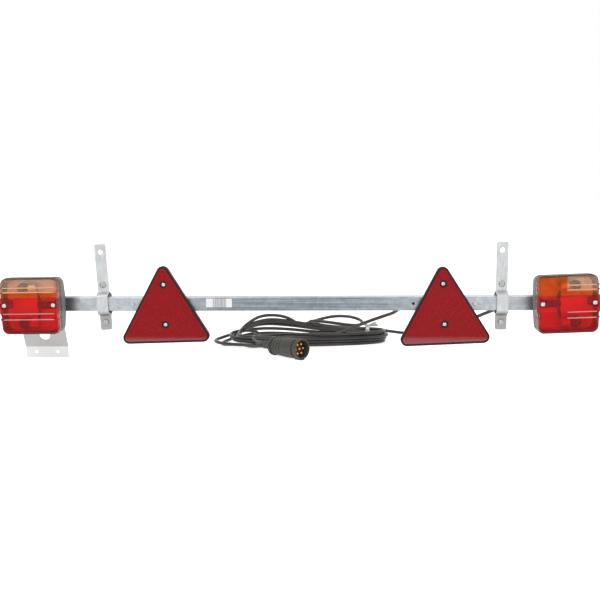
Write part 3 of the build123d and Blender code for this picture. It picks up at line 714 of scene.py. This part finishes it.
@dataclass
class Studio:
    """White floor, white surround and soft lights, each light with its name, place, size and power."""

    reach: float = 30.0
    surround: float = 0.52
    floor_lift: float = 0.75
    paper: str = "#F2F2F2"
    paper_roughness: float = 0.9
    aim: Triple = (0.0, 0.0, -0.1)
    lights: tuple[tuple[str, Triple, float, float], ...] = (
        ("key", (-1.1, -1.9, 1.7), 1.6, 20.0),
        ("fill", (1.6, -1.7, 0.8), 1.6, 10.0),
        ("top", (0.0, 0.5, 2.2), 2.2, 13.0),
    )

    def white_to_eye(self, tree: Tree) -> Socket:
        """Share that is 1 for camera, glossy and transmission rays and 0 for light that falls on the object.

        Args:
            tree: node tree that asks.

        Returns:
            A value output.
        """
        path = add(tree, "ShaderNodeLightPath").outputs
        first = calc(tree, "MAXIMUM", path["Is Camera Ray"], path["Is Glossy Ray"])
        return calc(tree, "MAXIMUM", first, path["Is Transmission Ray"])

    def build(self) -> None:
        """Make the world, the floor and the lights."""
        world = bpy.data.worlds.new("white surround")
        bpy.context.scene.world = world
        world.use_nodes = True
        tree = world.node_tree
        strength = ramp(tree, self.white_to_eye(tree), 0.0, 1.0, to=(self.surround, 1.0), ease=False)
        tree.links.new(strength, tree.nodes["Background"].inputs["Strength"])
        tree.nodes["Background"].inputs["Color"].default_value = WHITE

        rows = 3
        side = np.linspace(-self.reach, self.reach, rows) / MM
        x, y = np.meshgrid(side, side, indexing="xy")
        points = np.stack([x, y, np.full_like(x, FLOOR_Z)], axis=-1)
        mesh = bpy.data.meshes.new("floor")
        mesh.from_pydata((points.reshape(-1, 3) * MM).tolist(), [], grid_faces(rows, rows).tolist())
        floor = link("floor", mesh)
        paint = bpy.data.materials.new("white paper sweep")
        paint.use_nodes = True
        tree = paint.node_tree
        shader = tree.nodes["Principled BSDF"]
        shader.inputs["Base Color"].default_value = linear(self.paper)
        shader.inputs["Roughness"].default_value = self.paper_roughness
        shader.inputs["Emission Color"].default_value = WHITE
        lift = calc(tree, "MULTIPLY", self.white_to_eye(tree), self.floor_lift)
        tree.links.new(lift, shader.inputs["Emission Strength"])
        mesh.materials.append(paint)

        for name, place, size, power in self.lights:
            data = bpy.data.lights.new(name, "AREA")
            data.size, data.energy = size, power
            light = link(name, data)
            light.location = place
            towards = Vector(self.aim) - Vector(place)
            light.rotation_euler = towards.to_track_quat("-Z", "Y").to_euler()


def join(surfaces: list[Surface]) -> Surface:
    """Join several surfaces into one set of points and faces.

    Args:
        surfaces: points and faces of each.

    Returns:
        All points, one row each, and all faces with their vertex numbers moved on.
    """
    points, faces, first = [], [], 0
    for some, rows in surfaces:
        flat = some.reshape(-1, 3)
        points.append(flat)
        faces.extend(row + first for row in rows)
        first += len(flat)
    return np.concatenate(points), faces


@dataclass(frozen=True)
class CrossHeadScrew:
    """Pan head screw with a cross recess, standing along -Y on its seat.

    The slots' half width, reach and slanting walls, flat and tip are shares of the head's radius. Dome and
    slot_depth are shares of its height.
    """

    head_radius: float
    head_height: float
    shank_radius: float
    shank_length: float
    slot_half: float = 0.17
    slot_reach: float = 0.66
    slot_walls: Pair = (0.14, 0.07)
    slot_depth: float = 0.62
    flat: float = 0.45
    dome: float = 0.75
    tip: float = 0.03
    rings: int = 16
    around: int = 64

    def surface(self, x: float, seat: float, z: float) -> Surface:
        """One closed surface of revolution: domed head, flat underside, then the shank with its flat end.

        The head is a quarter ellipse over its outer part and flat inside it. Points that lie in one of the
        two crossed slots sink, with slanting slot walls.

        Args:
            x: place of the axis along X.
            seat: depth of the seat, counted forwards in the same frame.
            z: place of the axis along Z.

        Returns:
            Points and faces in the local frame of what it holds.
        """
        share = np.linspace(self.tip, 1.0, self.rings)
        rim = self.dome * self.head_height
        beyond = np.clip(share - self.flat, 0.0, None) / (1.0 - self.flat)
        dome = self.head_height - rim + rim * np.sqrt(np.clip(1.0 - beyond**2, 0.0, None))
        edge, shank, end = self.head_radius, self.shank_radius, -self.shank_length
        radius = np.concatenate([share * edge, [edge, shank, shank, self.tip * shank]])
        height = np.concatenate([dome, [0.0, 0.0, end, end]])
        turn = np.linspace(0.0, 2 * math.pi, self.around, endpoint=False)
        px, pz = radius[:, None] * np.cos(turn), radius[:, None] * np.sin(turn)
        u, v = np.abs(px) / edge, np.abs(pz) / edge
        lead, wall = self.slot_walls
        slots = [
            np.clip((self.slot_reach - a) / lead, 0.0, 1.0) * np.clip((self.slot_half - b) / wall, 0.0, 1.0)
            for a, b in ((u, v), (v, u))
        ]
        on_head = (np.arange(len(radius)) < self.rings)[:, None]
        sunk = np.maximum(*slots) * self.slot_depth * self.head_height * on_head
        points = np.stack([x + px, sunk - height[:, None] - seat, z + pz], axis=-1)
        return points, capped_tube(len(radius), self.around, mirrored=True)


@dataclass
class Lamps:
    """What the lamps' solids leave out: screw recesses, rib crowns with a painted highlight, dishes,
    terminals and wires.

    Depths are counted forwards from the back of the lamp's base.
    """

    places: dict[Side, Tilt] = field(
        default_factory=lambda: {
            Side.LEFT: Tilt(-471.3, -14.0, -91.2, 0.6),
            Side.RIGHT: Tilt(460.2, BAR_FRONT, -89.7, 2.0),
        }
    )
    screw: CrossHeadScrew = CrossHeadScrew(4.2, 2.6, 1.9, 34.0)
    screw_x: float = 43.5
    screw_z: float = 2.3
    seat: float = 46.2
    ribs: dict[str, tuple[float, ...]] = field(
        default_factory=lambda: {"amber_lens": (33.0, 25.2), "red_lens": (-12.4, -22.7)}
    )
    rib_front: float = 49.2
    rib_sink: float = 0.05
    lens_crown: float = 241.2
    rib_half: float = 1.05
    rib_tip: float = 0.3
    rib_crown: float = 0.3
    rib_ends: dict[Side, Pair] = field(
        default_factory=lambda: {Side.LEFT: (-46.0, 46.0), Side.RIGHT: (-4.0, 46.0)}
    )
    dish: tuple[Pair, Pair] = ((35.0, 41.2), (47.2, 45.8))
    dish_depth: Pair = (14.8, 20.0)
    dish_power: int = 7
    post_reach: float = 8.0
    post_step: float = 9.4
    post_least: float = 0.02
    inward: dict[Side, float] = field(default_factory=lambda: {Side.LEFT: 1.0, Side.RIGHT: -1.0})
    block_middle: float = 22.0
    block_half: Pair = (14.0, 6.5)
    block_height: float = 13.0
    block_power: int = 6
    block_rings: tuple[Pair, ...] = (
        (1.0, 0.0), (1.0, 0.85), (0.96, 0.95), (0.88, 1.0), (0.6, 1.0), (0.3, 1.0), (0.05, 1.0),
    )
    terminal_pitch: float = 7.0
    terminal_dip: float = 0.2
    wire_radius: float = 1.3
    wire_x: tuple[Pair, ...] = ((10.0, 7.2), (13.5, 8.4))
    wire_depth: Pair = (22.0, 21.0)
    wire_from_z: float = 5.5
    wire_to_z: Pair = (23.0, -25.0)
    wire_bow: Triple = (0.8, -2.0, 0.0)

    def crown(self, z: float, ends: Pair) -> Surface:
        """Crown of one rib: half an ellipse across, falling to the rib's face at both ends.

        The rib's face lies on the crowned front of the lens, a cylinder along X, so it sinks with the square
        of its height. The fall is the root of 1 less the twentieth power, so the ends stay blunt.

        Args:
            z: height of the rib on the lens.
            ends: first and last X of the polished stretch.

        Returns:
            Points and faces in the lamp's local frame.
        """
        rows, cols = 49, 9
        along = np.linspace(-1.0, 1.0, rows)[:, None]
        lean = np.linspace(-math.pi / 2, math.pi / 2, cols)[None, :]
        end = np.sqrt(np.clip(1.0 - along**20, 0.0, None))
        x = between(ends, (1 + along) / 2) + 0 * lean
        height = z + self.rib_half * np.sin(lean) * between((self.rib_tip, 1.0), end)
        face = self.rib_front - self.rib_sink - height**2 / (2 * self.lens_crown)
        y = -face - self.rib_crown * np.cos(lean) * end
        return np.stack([x, y, height], axis=-1), [grid_faces(rows, cols)]

    def liner(self) -> Surface:
        """Pressed dish round the bulb plate: it rises from the plate's edge to the walls of the base.

        Both edges are rounded rectangles, written as superellipses; a quarter of a cosine leads from one to
        the other. Beside the screw posts the outer edge steps back by post_step, times an exponential of the
        eighth power of the height from the post, wherever that exponential is over post_least.

        Returns:
            Points and faces in the lamp's local frame.
        """
        around, steps = 160, 9
        step = np.linspace(0.0, 1.0, steps)[None, :]
        across, up = superellipse(around, self.dish_power)
        (x0, z0), (x1, z1) = ((half[0] * across, half[1] * up) for half in self.dish)
        near_post = np.exp(-(((z1 - self.screw_z) / self.post_reach) ** 8))
        stepped = np.sign(x1) * np.minimum(np.abs(x1), self.dish[1][0] - self.post_step * near_post)
        x1 = np.where(near_post > self.post_least, stepped, x1)
        x, z = between((x0, x1), step), between((z0, z1), step)
        y = -between(self.dish_depth, 1 - np.cos(step * math.pi / 2)) + 0 * x
        return np.stack([x, y, z], axis=-1), [grid_faces(around, steps, wrap_rows=True)]

    def block(self, inward: float) -> Surface:
        """Terminal block on the bulb plate, on the bar's side of the bulbs.

        Rings of a rounded rectangle, a superellipse, rise from the plate and close over the top, each with
        its shares of size and height. The height follows a cosine along X, with one rise for each terminal.

        Args:
            inward: 1 where the bar lies towards +X of the lamp, else -1.

        Returns:
            Points and faces in the lamp's local frame.
        """
        size, lift = np.array(self.block_rings).T
        around = 64
        across, up = superellipse(around, self.block_power)
        x, z = self.block_half[0] * across * size, self.block_half[1] * up * size
        rise = 1.0 - self.terminal_dip * (1.0 - np.cos(2 * math.pi * x / self.terminal_pitch))
        y = -self.dish_depth[0] - self.block_height * lift * rise
        rows, cols = x.shape
        first = np.arange(rows) * cols
        faces = [
            grid_faces(rows, cols, wrap_rows=True)[:, ::-1], first[None, ::-1], (first + cols - 1)[None, :]
        ]
        return np.stack([inward * self.block_middle + x, y, z], axis=-1), faces

    def wire(self, start: np.ndarray, end: np.ndarray, bow: np.ndarray) -> Surface:
        """Insulated wire: a circle carried along a straight line that bows out as half a sine.

        Args:
            start: first point of the wire's middle.
            end: last point.
            bow: how far the middle of the wire stands off that line.

        Returns:
            Points and faces in the lamp's local frame.
        """
        rows, cols = 25, 10
        s = np.linspace(0.0, 1.0, rows)[:, None]
        ring = np.linspace(0.0, 2 * math.pi, cols, endpoint=False)[None, :, None]
        middle = between((start, end), s) + bow * np.sin(math.pi * s)
        ahead = np.gradient(middle, axis=0)
        ahead /= np.linalg.norm(ahead, axis=1, keepdims=True)
        side = np.cross(ahead, [0.0, 1.0, 0.0])
        side /= np.linalg.norm(side, axis=1, keepdims=True)
        up = np.cross(ahead, side)
        around = np.cos(ring) * side[:, None] + np.sin(ring) * up[:, None]
        return middle[:, None] + self.wire_radius * around, capped_tube(rows, cols)

    def wires(self, inward: float) -> Surface:
        """Four wires from the terminals to the two bulb holders, two up and two down.

        Args:
            inward: 1 where the bar lies towards +X of the lamp, else -1.

        Returns:
            Points and faces in the lamp's local frame.
        """
        runs = []
        for up, holder in zip((1.0, -1.0), self.wire_to_z):
            for first, last in self.wire_x:
                start = np.array([inward * first, -self.wire_depth[0], up * self.wire_from_z])
                end = np.array([inward * last, -self.wire_depth[1], holder])
                runs.append(self.wire(start, end, np.array([inward, 1.0, 1.0]) * self.wire_bow))
        return join(runs)

    def build(self) -> None:
        """Put in the lens screws, the crowns, the dishes, the terminal blocks and their wires."""
        screws = []
        for side, place in self.places.items():
            for name, slot, surface in (
                ("terminal_block", "black_plastic", self.block(self.inward[side])),
                ("lamp_wires", "lead_sheath", self.wires(self.inward[side])),
            ):
                dress(put_mesh(f"{side.value}_{name}", *place.place(surface)), slot)
            # Rib crowns: pale strips that carry a painted highlight on the ribs
            for slot, heights in self.ribs.items():
                crowns = join([self.crown(z, self.rib_ends[side]) for z in heights])
                dress(put_mesh(f"{side.value}_{slot}_ribs", *place.place(crowns)), slot, RIB_HIGHLIGHTS[slot])
            dress(put_mesh(f"{side.value}_lamp_liner", *place.place(self.liner())), "reflector_tin")
            for x in (-self.screw_x, self.screw_x):
                screws.append(place.place(self.screw.surface(x, self.seat, self.screw_z)))
        piece = put_mesh("lens_cross_screws", *join(screws))
        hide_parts("lens_screws")
        dress(piece, "zinc_bolt")


@dataclass
class Reflectors:
    """Prism cells and screws of the two triangular reflectors.

    Depths are counted forwards from the front of the bar; margin is a share of the pitch.
    """

    places: dict[Side, Tilt] = field(
        default_factory=lambda: {
            Side.LEFT: Tilt(-240.3, BAR_FRONT, BAR_Z, 1.6),
            Side.RIGHT: Tilt(254.7, BAR_FRONT, BAR_Z, 2.5),
        }
    )
    drops: dict[Side, float] = field(default_factory=lambda: {Side.LEFT: 0.0, Side.RIGHT: 3.2})
    screw: CrossHeadScrew = CrossHeadScrew(4.0, 2.8, 2.0, 28.5)
    screw_z: float = 36.0
    seat: float = 5.8
    boss: float = 6.4
    centroid: float = -19.27
    field_inradius: float = 41.4
    pitch: float = 3.4
    margin: float = 0.6
    rows_each_way: int = 30
    depths: Triple = (9.06, 9.25, 9.44)
    facet_deg: float = 5.0

    def cells(self, drop: float) -> Surface:
        """Corner-cube cells: a honeycomb of hexagons, each made of three rhombs that meet in a sunk middle.

        Hexagon middles stand a pitch apart in each row, every other row moved by half a pitch. Those whose
        middle lies far enough inside the three sides of the field, and clear of the screw bosses, are kept.
        Their corners stand alternately at the second and third depth, and their middle at the first.

        Args:
            drop: how far the reflector sits below the middle of the bar.

        Returns:
            Points and faces in the reflector's local frame.
        """
        steps = np.arange(-self.rows_each_way, self.rows_each_way + 1)
        across, up = np.meshgrid(steps, steps)
        mx = (self.pitch * (across + 0.5 * (up % 2))).ravel()
        mz = (self.pitch * math.sqrt(0.75) * up).ravel()
        clear = self.margin * self.pitch
        out = np.radians([-90.0, 30.0, 150.0])[:, None]
        keep = (np.cos(out) * mx + np.sin(out) * mz < self.field_inradius - clear).all(axis=0)
        mz = mz + self.centroid - drop
        for z in (-self.screw_z, self.screw_z):
            keep &= np.hypot(mx, mz - z) > self.boss + clear
        mx, mz = mx[keep, None], mz[keep, None]
        corner = np.radians(30.0 + 60.0 * np.arange(6))
        side = self.pitch / math.sqrt(3)
        low, half, high = self.depths
        x = np.concatenate([mx, mx + side * np.cos(corner)], axis=1)
        z = np.concatenate([mz, mz + side * np.sin(corner)], axis=1)
        y = np.broadcast_to(-np.array([low, half, high, half, high, half, high]), x.shape)
        first = 7 * np.arange(len(mx))[:, None, None]
        rhombs = np.array([[0, 1, 2, 3], [0, 3, 4, 5], [0, 5, 6, 1]])[None] + first
        return np.stack([x, y, z], axis=-1), [rhombs.reshape(-1, 4)]

    def build(self) -> None:
        """Put in the prism cells and the screws."""
        screws = []
        for side, place in self.places.items():
            cells = place.place(self.cells(self.drops[side]))
            dress(put_mesh(f"{side.value}_reflector_cells", *cells, self.facet_deg), "reflector_red")
            for z in (-self.screw_z, self.screw_z):
                screws.append(place.place(self.screw.surface(0.0, self.seat, z)))
        piece = put_mesh("reflector_cross_screws", *join(screws))
        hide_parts("reflector_screws")
        dress(piece, "zinc_bolt")


@dataclass
class Sticker:
    """Paper sticker on the front of the bar."""

    x: Pair = (-166.6, -120.1)
    z: Pair = (-99.0, -83.4)
    off: float = 0.12
    curl: float = 0.5

    def build(self) -> None:
        """Lay the sheet on the bar; its height off the bar grows as the fourth power towards its corners."""
        rows, cols = 25, 9
        u, v = np.meshgrid(np.linspace(-1.0, 1.0, rows), np.linspace(-1.0, 1.0, cols), indexing="ij")
        x, z = between(self.x, (1 + u) / 2), between(self.z, (1 + v) / 2)
        y = BAR_FRONT - self.off - self.curl * (u * v) ** 4
        sheet = put_mesh("bar_sticker", np.stack([x, y, z], axis=-1), [grid_faces(rows, cols)])
        dress(sheet, "tie", STICKER)


@dataclass
class Tie:
    """Clear tape tied round the hank, with its two ends twisted on top.

    Each tail holds how far it runs along X, Y and Z, and its half turns on the way.
    """

    tails: tuple[tuple[Triple, float], ...] = (
        ((19.0, -10.0, 5.0), 0.35), ((-8.0, -8.0, 6.0), 0.3),
    )
    tail_half: float = 5.5
    tail_root: float = 0.4
    tail_thick: float = 0.3
    tail_lean: float = 0.35
    tail_lift: float = 1.0
    tail_rise: float = 1.4
    ripple: float = 1.1
    ripple_rate: float = 9.0
    thickness: float = 0.5
    gather: float = 0.5
    gather_spread: float = 0.5
    pleat: float = 0.7
    pleat_rate: float = 7.0
    roundness: float = 0.75

    def bundle(self) -> tuple[np.ndarray, np.ndarray]:
        """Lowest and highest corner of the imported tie, in millimetres."""
        low, high = (np.array(c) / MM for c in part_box("hank_tie"))
        return low, high

    def band(self) -> Surface:
        """Closed band: a rounded box round the bundle, gathered to half its width on top.

        Around the bundle Y and Z follow a superellipse; across the band the profile is a flat loop, out along
        its outer side and back along its inner one.

        Returns:
            Points in millimetres and faces.
        """
        low, high = self.bundle()
        middle, half = (low + high) / 2, (high - low) / 2
        rows, cols = 72, 9
        turn = np.linspace(0.0, 2 * math.pi, rows, endpoint=False)[:, None]
        across = np.linspace(-1.0, 1.0, cols)
        loop = np.concatenate([across, across[::-1]])
        width = 1.0 - self.gather * np.exp(-(((turn - math.pi / 2) / self.gather_spread) ** 2))
        pleat = self.pleat * np.cos(loop * self.pleat_rate) * (1.0 - width)
        inset = np.repeat([0.0, self.thickness], cols) + pleat
        c, s = np.cos(turn), np.sin(turn)
        x = middle[0] + half[0] * loop * width
        y = middle[1] + (half[1] - inset) * np.sign(c) * np.abs(c) ** self.roundness
        z = middle[2] + (half[2] - inset) * np.sign(s) * np.abs(s) ** self.roundness
        return np.stack([x, y, z], axis=-1), [grid_faces(rows, 2 * cols, wrap_rows=True, wrap_cols=True)]

    def twist(self, reach: Triple, turns: float) -> Surface:
        """One end of the tape: a flat ellipse carried along a rising line while it turns about that line.

        Args:
            reach: how far the end runs along X, Y and Z.
            turns: half turns on the way, from a first lean of about 60 degrees.

        Returns:
            Points in millimetres and faces.
        """
        low, high = self.bundle()
        rows, cols = 40, 16
        s = np.linspace(0.0, 1.0, rows)[:, None]
        ring = np.linspace(0.0, 2 * math.pi, cols, endpoint=False)[None, :]
        roll = math.pi * (self.tail_lean + turns * s)
        wide = self.tail_half * between((self.tail_root, 1.0), s) * np.cos(ring)
        thin = self.tail_thick * np.sin(ring)
        climb = self.tail_lift + reach[2] * s * between((self.tail_rise, 1.0), s)
        x = (low[0] + high[0]) / 2 + reach[0] * s + wide * np.cos(roll) - thin * np.sin(roll)
        y = (low[1] + high[1]) / 2 + reach[1] * s + self.ripple * np.sin(self.ripple_rate * s) * np.cos(ring)
        z = high[2] + climb + wide * np.sin(roll) + thin * np.cos(roll)
        return np.stack([x, y, z], axis=-1), capped_tube(rows, cols)

    def build(self) -> None:
        """Put the band and its twisted ends round the hank."""
        piece = put_mesh("hank_tape", *join([self.band(), *(self.twist(*tail) for tail in self.tails)]))
        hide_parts("hank_tie")
        dress(piece, "tie")


@dataclass(frozen=True)
class Winding:
    """One stretch of loose turns, with its values at the start and at the end.

    Angles are in half turns: 0 is the right end, 0.5 the far side and 1 the left end. Size is the share of
    the full loop, height is over the floor, and arch is the rise over the far left side. Turns differ in size
    by the share waver, shifted by phase.
    """

    halves: Pair
    size: Pair
    height: Pair
    arch: Pair
    waver: float
    phase: float


@dataclass
class Hank:
    """Loops of the tied leads: a long drop, wide at its loose left end and narrow at its tied right end.

    Pairs hold the values at the left end and at the right one.
    """

    x: Pair = (-156.0, 173.0)
    middle_y: Pair = (151.0, 175.0)
    half_y: Pair = (70.0, 45.0)
    fullness: float = 0.08
    arch_at: float = 0.65 * math.pi
    arch_spread: float = 0.5
    waver_rate: float = 0.83
    stray_at: float = 5.0 * math.pi
    stray_spread: float = 0.6
    stray: float = 24.0
    lowest: float = 4.0
    per_turn: int = 20

    def turns(self, run: Winding) -> np.ndarray:
        """Points of loose turns.

        X swings between the two ends as a cosine that its third harmonic makes fuller, and Y as a sine whose
        half width goes from the wide end to the narrow one. The height changes evenly, with a low arch over
        the far left side. Each turn wavers a little in size, so that the turns fan out, and one loop strays
        further to the left.

        Args:
            run: the stretch of turns.

        Returns:
            Points in millimetres, one row each.
        """
        start, end = (half * math.pi for half in run.halves)
        count = int(abs(end - start) / (2 * math.pi) * self.per_turn) + 1
        t, s = np.linspace(start, end, count), np.linspace(0.0, 1.0, count)
        size, height, arch = (between(ends, s) for ends in (run.size, run.height, run.arch))
        share = size + run.waver * np.sin(self.waver_rate * t + run.phase)
        swing = share * ((1 + self.fullness) * np.cos(t) - self.fullness * np.cos(3 * t))
        strayed = self.stray * np.exp(-(((t - self.stray_at) / self.stray_spread) ** 2))
        x = between(self.x, (1 + swing) / 2) - strayed
        rightness = (1 + np.cos(t)) / 2
        y = between(self.middle_y, rightness) + share * between(self.half_y, rightness) * np.sin(t)
        turn = np.mod(t - self.arch_at + math.pi, 2 * math.pi) - math.pi
        z = np.maximum(height + arch * np.exp(-((turn / self.arch_spread) ** 2)), self.lowest)
        return np.stack([x, y, FLOOR_Z + z], axis=-1)


@dataclass
class Leads:
    """The two lamp leads, from the bar through the hank to the plug."""

    diameter: float = 6.5
    left_length: float = 2.2
    right_length: float = 3.0
    left_route: tuple[Triple, ...] = (
        (193.2, 14.0, -93.2), (193.2, 45.0, -93.2), (179.3, 76.0, -119.7), (155.9, 97.0, -130.7),
        (125.7, 113.0, -143.7), (97.8, 122.0, -156.7), (66.0, 128.0, -170.7), (36.0, 129.0, -176.7),
    )
    right_route: tuple[Triple, ...] = (
        (384.2, 14.0, -93.2), (384.2, 43.0, -93.2), (373.2, 71.0, -109.7), (354.2, 91.0, -121.7),
        (335.4, 112.0, -133.7), (313.5, 135.0, -149.7), (289.6, 159.0, -165.7), (263.7, 182.0, -177.7),
        (235.8, 202.0, -183.7), (204.8, 213.0, -182.7), (173.9, 213.0, -178.7), (146.0, 207.0, -173.7),
    )
    small_loop: tuple[Triple, ...] = (
        (-10.0, 212.0, -166.7), (24.0, 217.0, -155.7), (58.0, 219.0, -147.7), (92.0, 215.0, -147.7),
        (116.0, 201.0, -153.7), (118.0, 178.0, -159.7), (96.0, 160.0, -158.7), (62.0, 154.0, -152.7),
        (32.0, 160.0, -149.7), (12.0, 176.0, -151.7), (12.0, 198.0, -157.7), (32.0, 213.0, -165.7),
        (60.0, 218.0, -169.7),
    )
    left_end: tuple[Triple, ...] = (
        (-40.0, 121.0, -169.2), (-80.0, 117.0, -173.2), (-112.0, 118.0, -177.2), (-138.0, 129.0, -178.2),
        (-148.0, 150.0, -175.2), (-139.0, 172.0, -172.2), (-117.0, 181.0, -171.2), (-97.0, 171.0, -172.2),
        (-89.0, 150.0, -174.2), (-92.0, 127.0, -175.2), (-98.0, 107.0, -175.7), (-87.8, 88.0, -179.2),
        (-77.5, 68.9, -176.3), (-70.4, 62.3, -175.9),
    )
    right_end: tuple[Triple, ...] = (
        (-118.0, 110.0, -187.7), (-97.7, 89.4, -188.8), (-77.3, 68.7, -183.5), (-70.2, 62.1, -183.1),
    )
    upper: Winding = Winding((1.5, -1.42), (0.84, 0.88), (16.0, 23.0), (18.0, 32.0), 0.04, 0.4)
    after: Winding = Winding((-1.66, -2.45), (0.88, 0.9), (24.0, 26.0), (0.0, 0.0), 0.04, 0.4)
    lower: Winding = Winding((0.34, 7.1), (0.9, 0.99), (21.0, 2.0), (25.0, 10.0), 0.05, 2.0)
    plug_nodes: tuple[str, ...] = (
        "plug_shell", "plug_rear_cover", "plug_pin_carrier", "plug_pins", "plug_tail",
    )
    hank: Hank = field(default_factory=Hank)

    def cord(self, name: str, points: np.ndarray) -> bpy.types.Object:
        """One lead as a round tube along a smooth spline that follows its control points.

        Args:
            name: name of the piece.
            points: control points in millimetres.

        Returns:
            The lead's curve object.
        """
        curve = bpy.data.curves.new(name, "CURVE")
        curve.dimensions = "3D"
        curve.bevel_depth = 1.0
        curve.bevel_resolution = 4
        curve.resolution_u = 6
        curve.use_fill_caps = True
        spline = curve.splines.new("NURBS")
        spline.points.add(len(points) - 1)
        weighted = np.concatenate([points * MM, np.ones((len(points), 1))], axis=1)
        spline.points.foreach_set("co", weighted.ravel())
        spline.points.foreach_set("radius", np.full(len(points), self.diameter / 2 * MM))
        spline.order_u = 3
        spline.use_endpoint_u = True
        made = link(name, curve)
        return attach(made, BODY)

    def build(self) -> None:
        upper, after, lower = (self.hank.turns(run) for run in (self.upper, self.after, self.lower))
        left = self.cord(
            "left_lamp_lead", np.concatenate([self.left_route, upper, self.small_loop, after, self.left_end])
        )
        right = self.cord("right_lamp_lead", np.concatenate([self.right_route, lower, self.right_end]))
        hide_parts("left_lead", "left_plug_lead")
        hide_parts("right_lead", "right_plug_lead", "lead_hank")
        for piece in (left, right):
            dress(piece, "lead_sheath")


def dress_solids() -> None:
    """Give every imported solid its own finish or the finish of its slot."""
    for entry in frame["record"]["subparts"]:
        solid = frame["nodes"][entry["node"]]
        finish = NODE_FINISHES.get(entry["node"], FINISHES[entry["material_slot"]])
        solid.data.materials.clear()
        solid.data.materials.append(finish.material())


def write_sizes() -> None:
    """Bring the view layer up to date."""
    bpy.context.view_layer.update()


def main() -> None:
    """Dress the solids, then add the pieces that the solids leave out."""
    logging.basicConfig(level=logging.INFO, format="%(message)s")
    bpy.context.scene.view_settings.view_transform = "Standard"
    Camera().build()
    Studio().build()
    dress_solids()
    Lamps().build()
    Reflectors().build()
    Sticker().build()
    Tie().build()
    Leads().build()
    write_sizes()


if __name__ == "__main__":
    main()
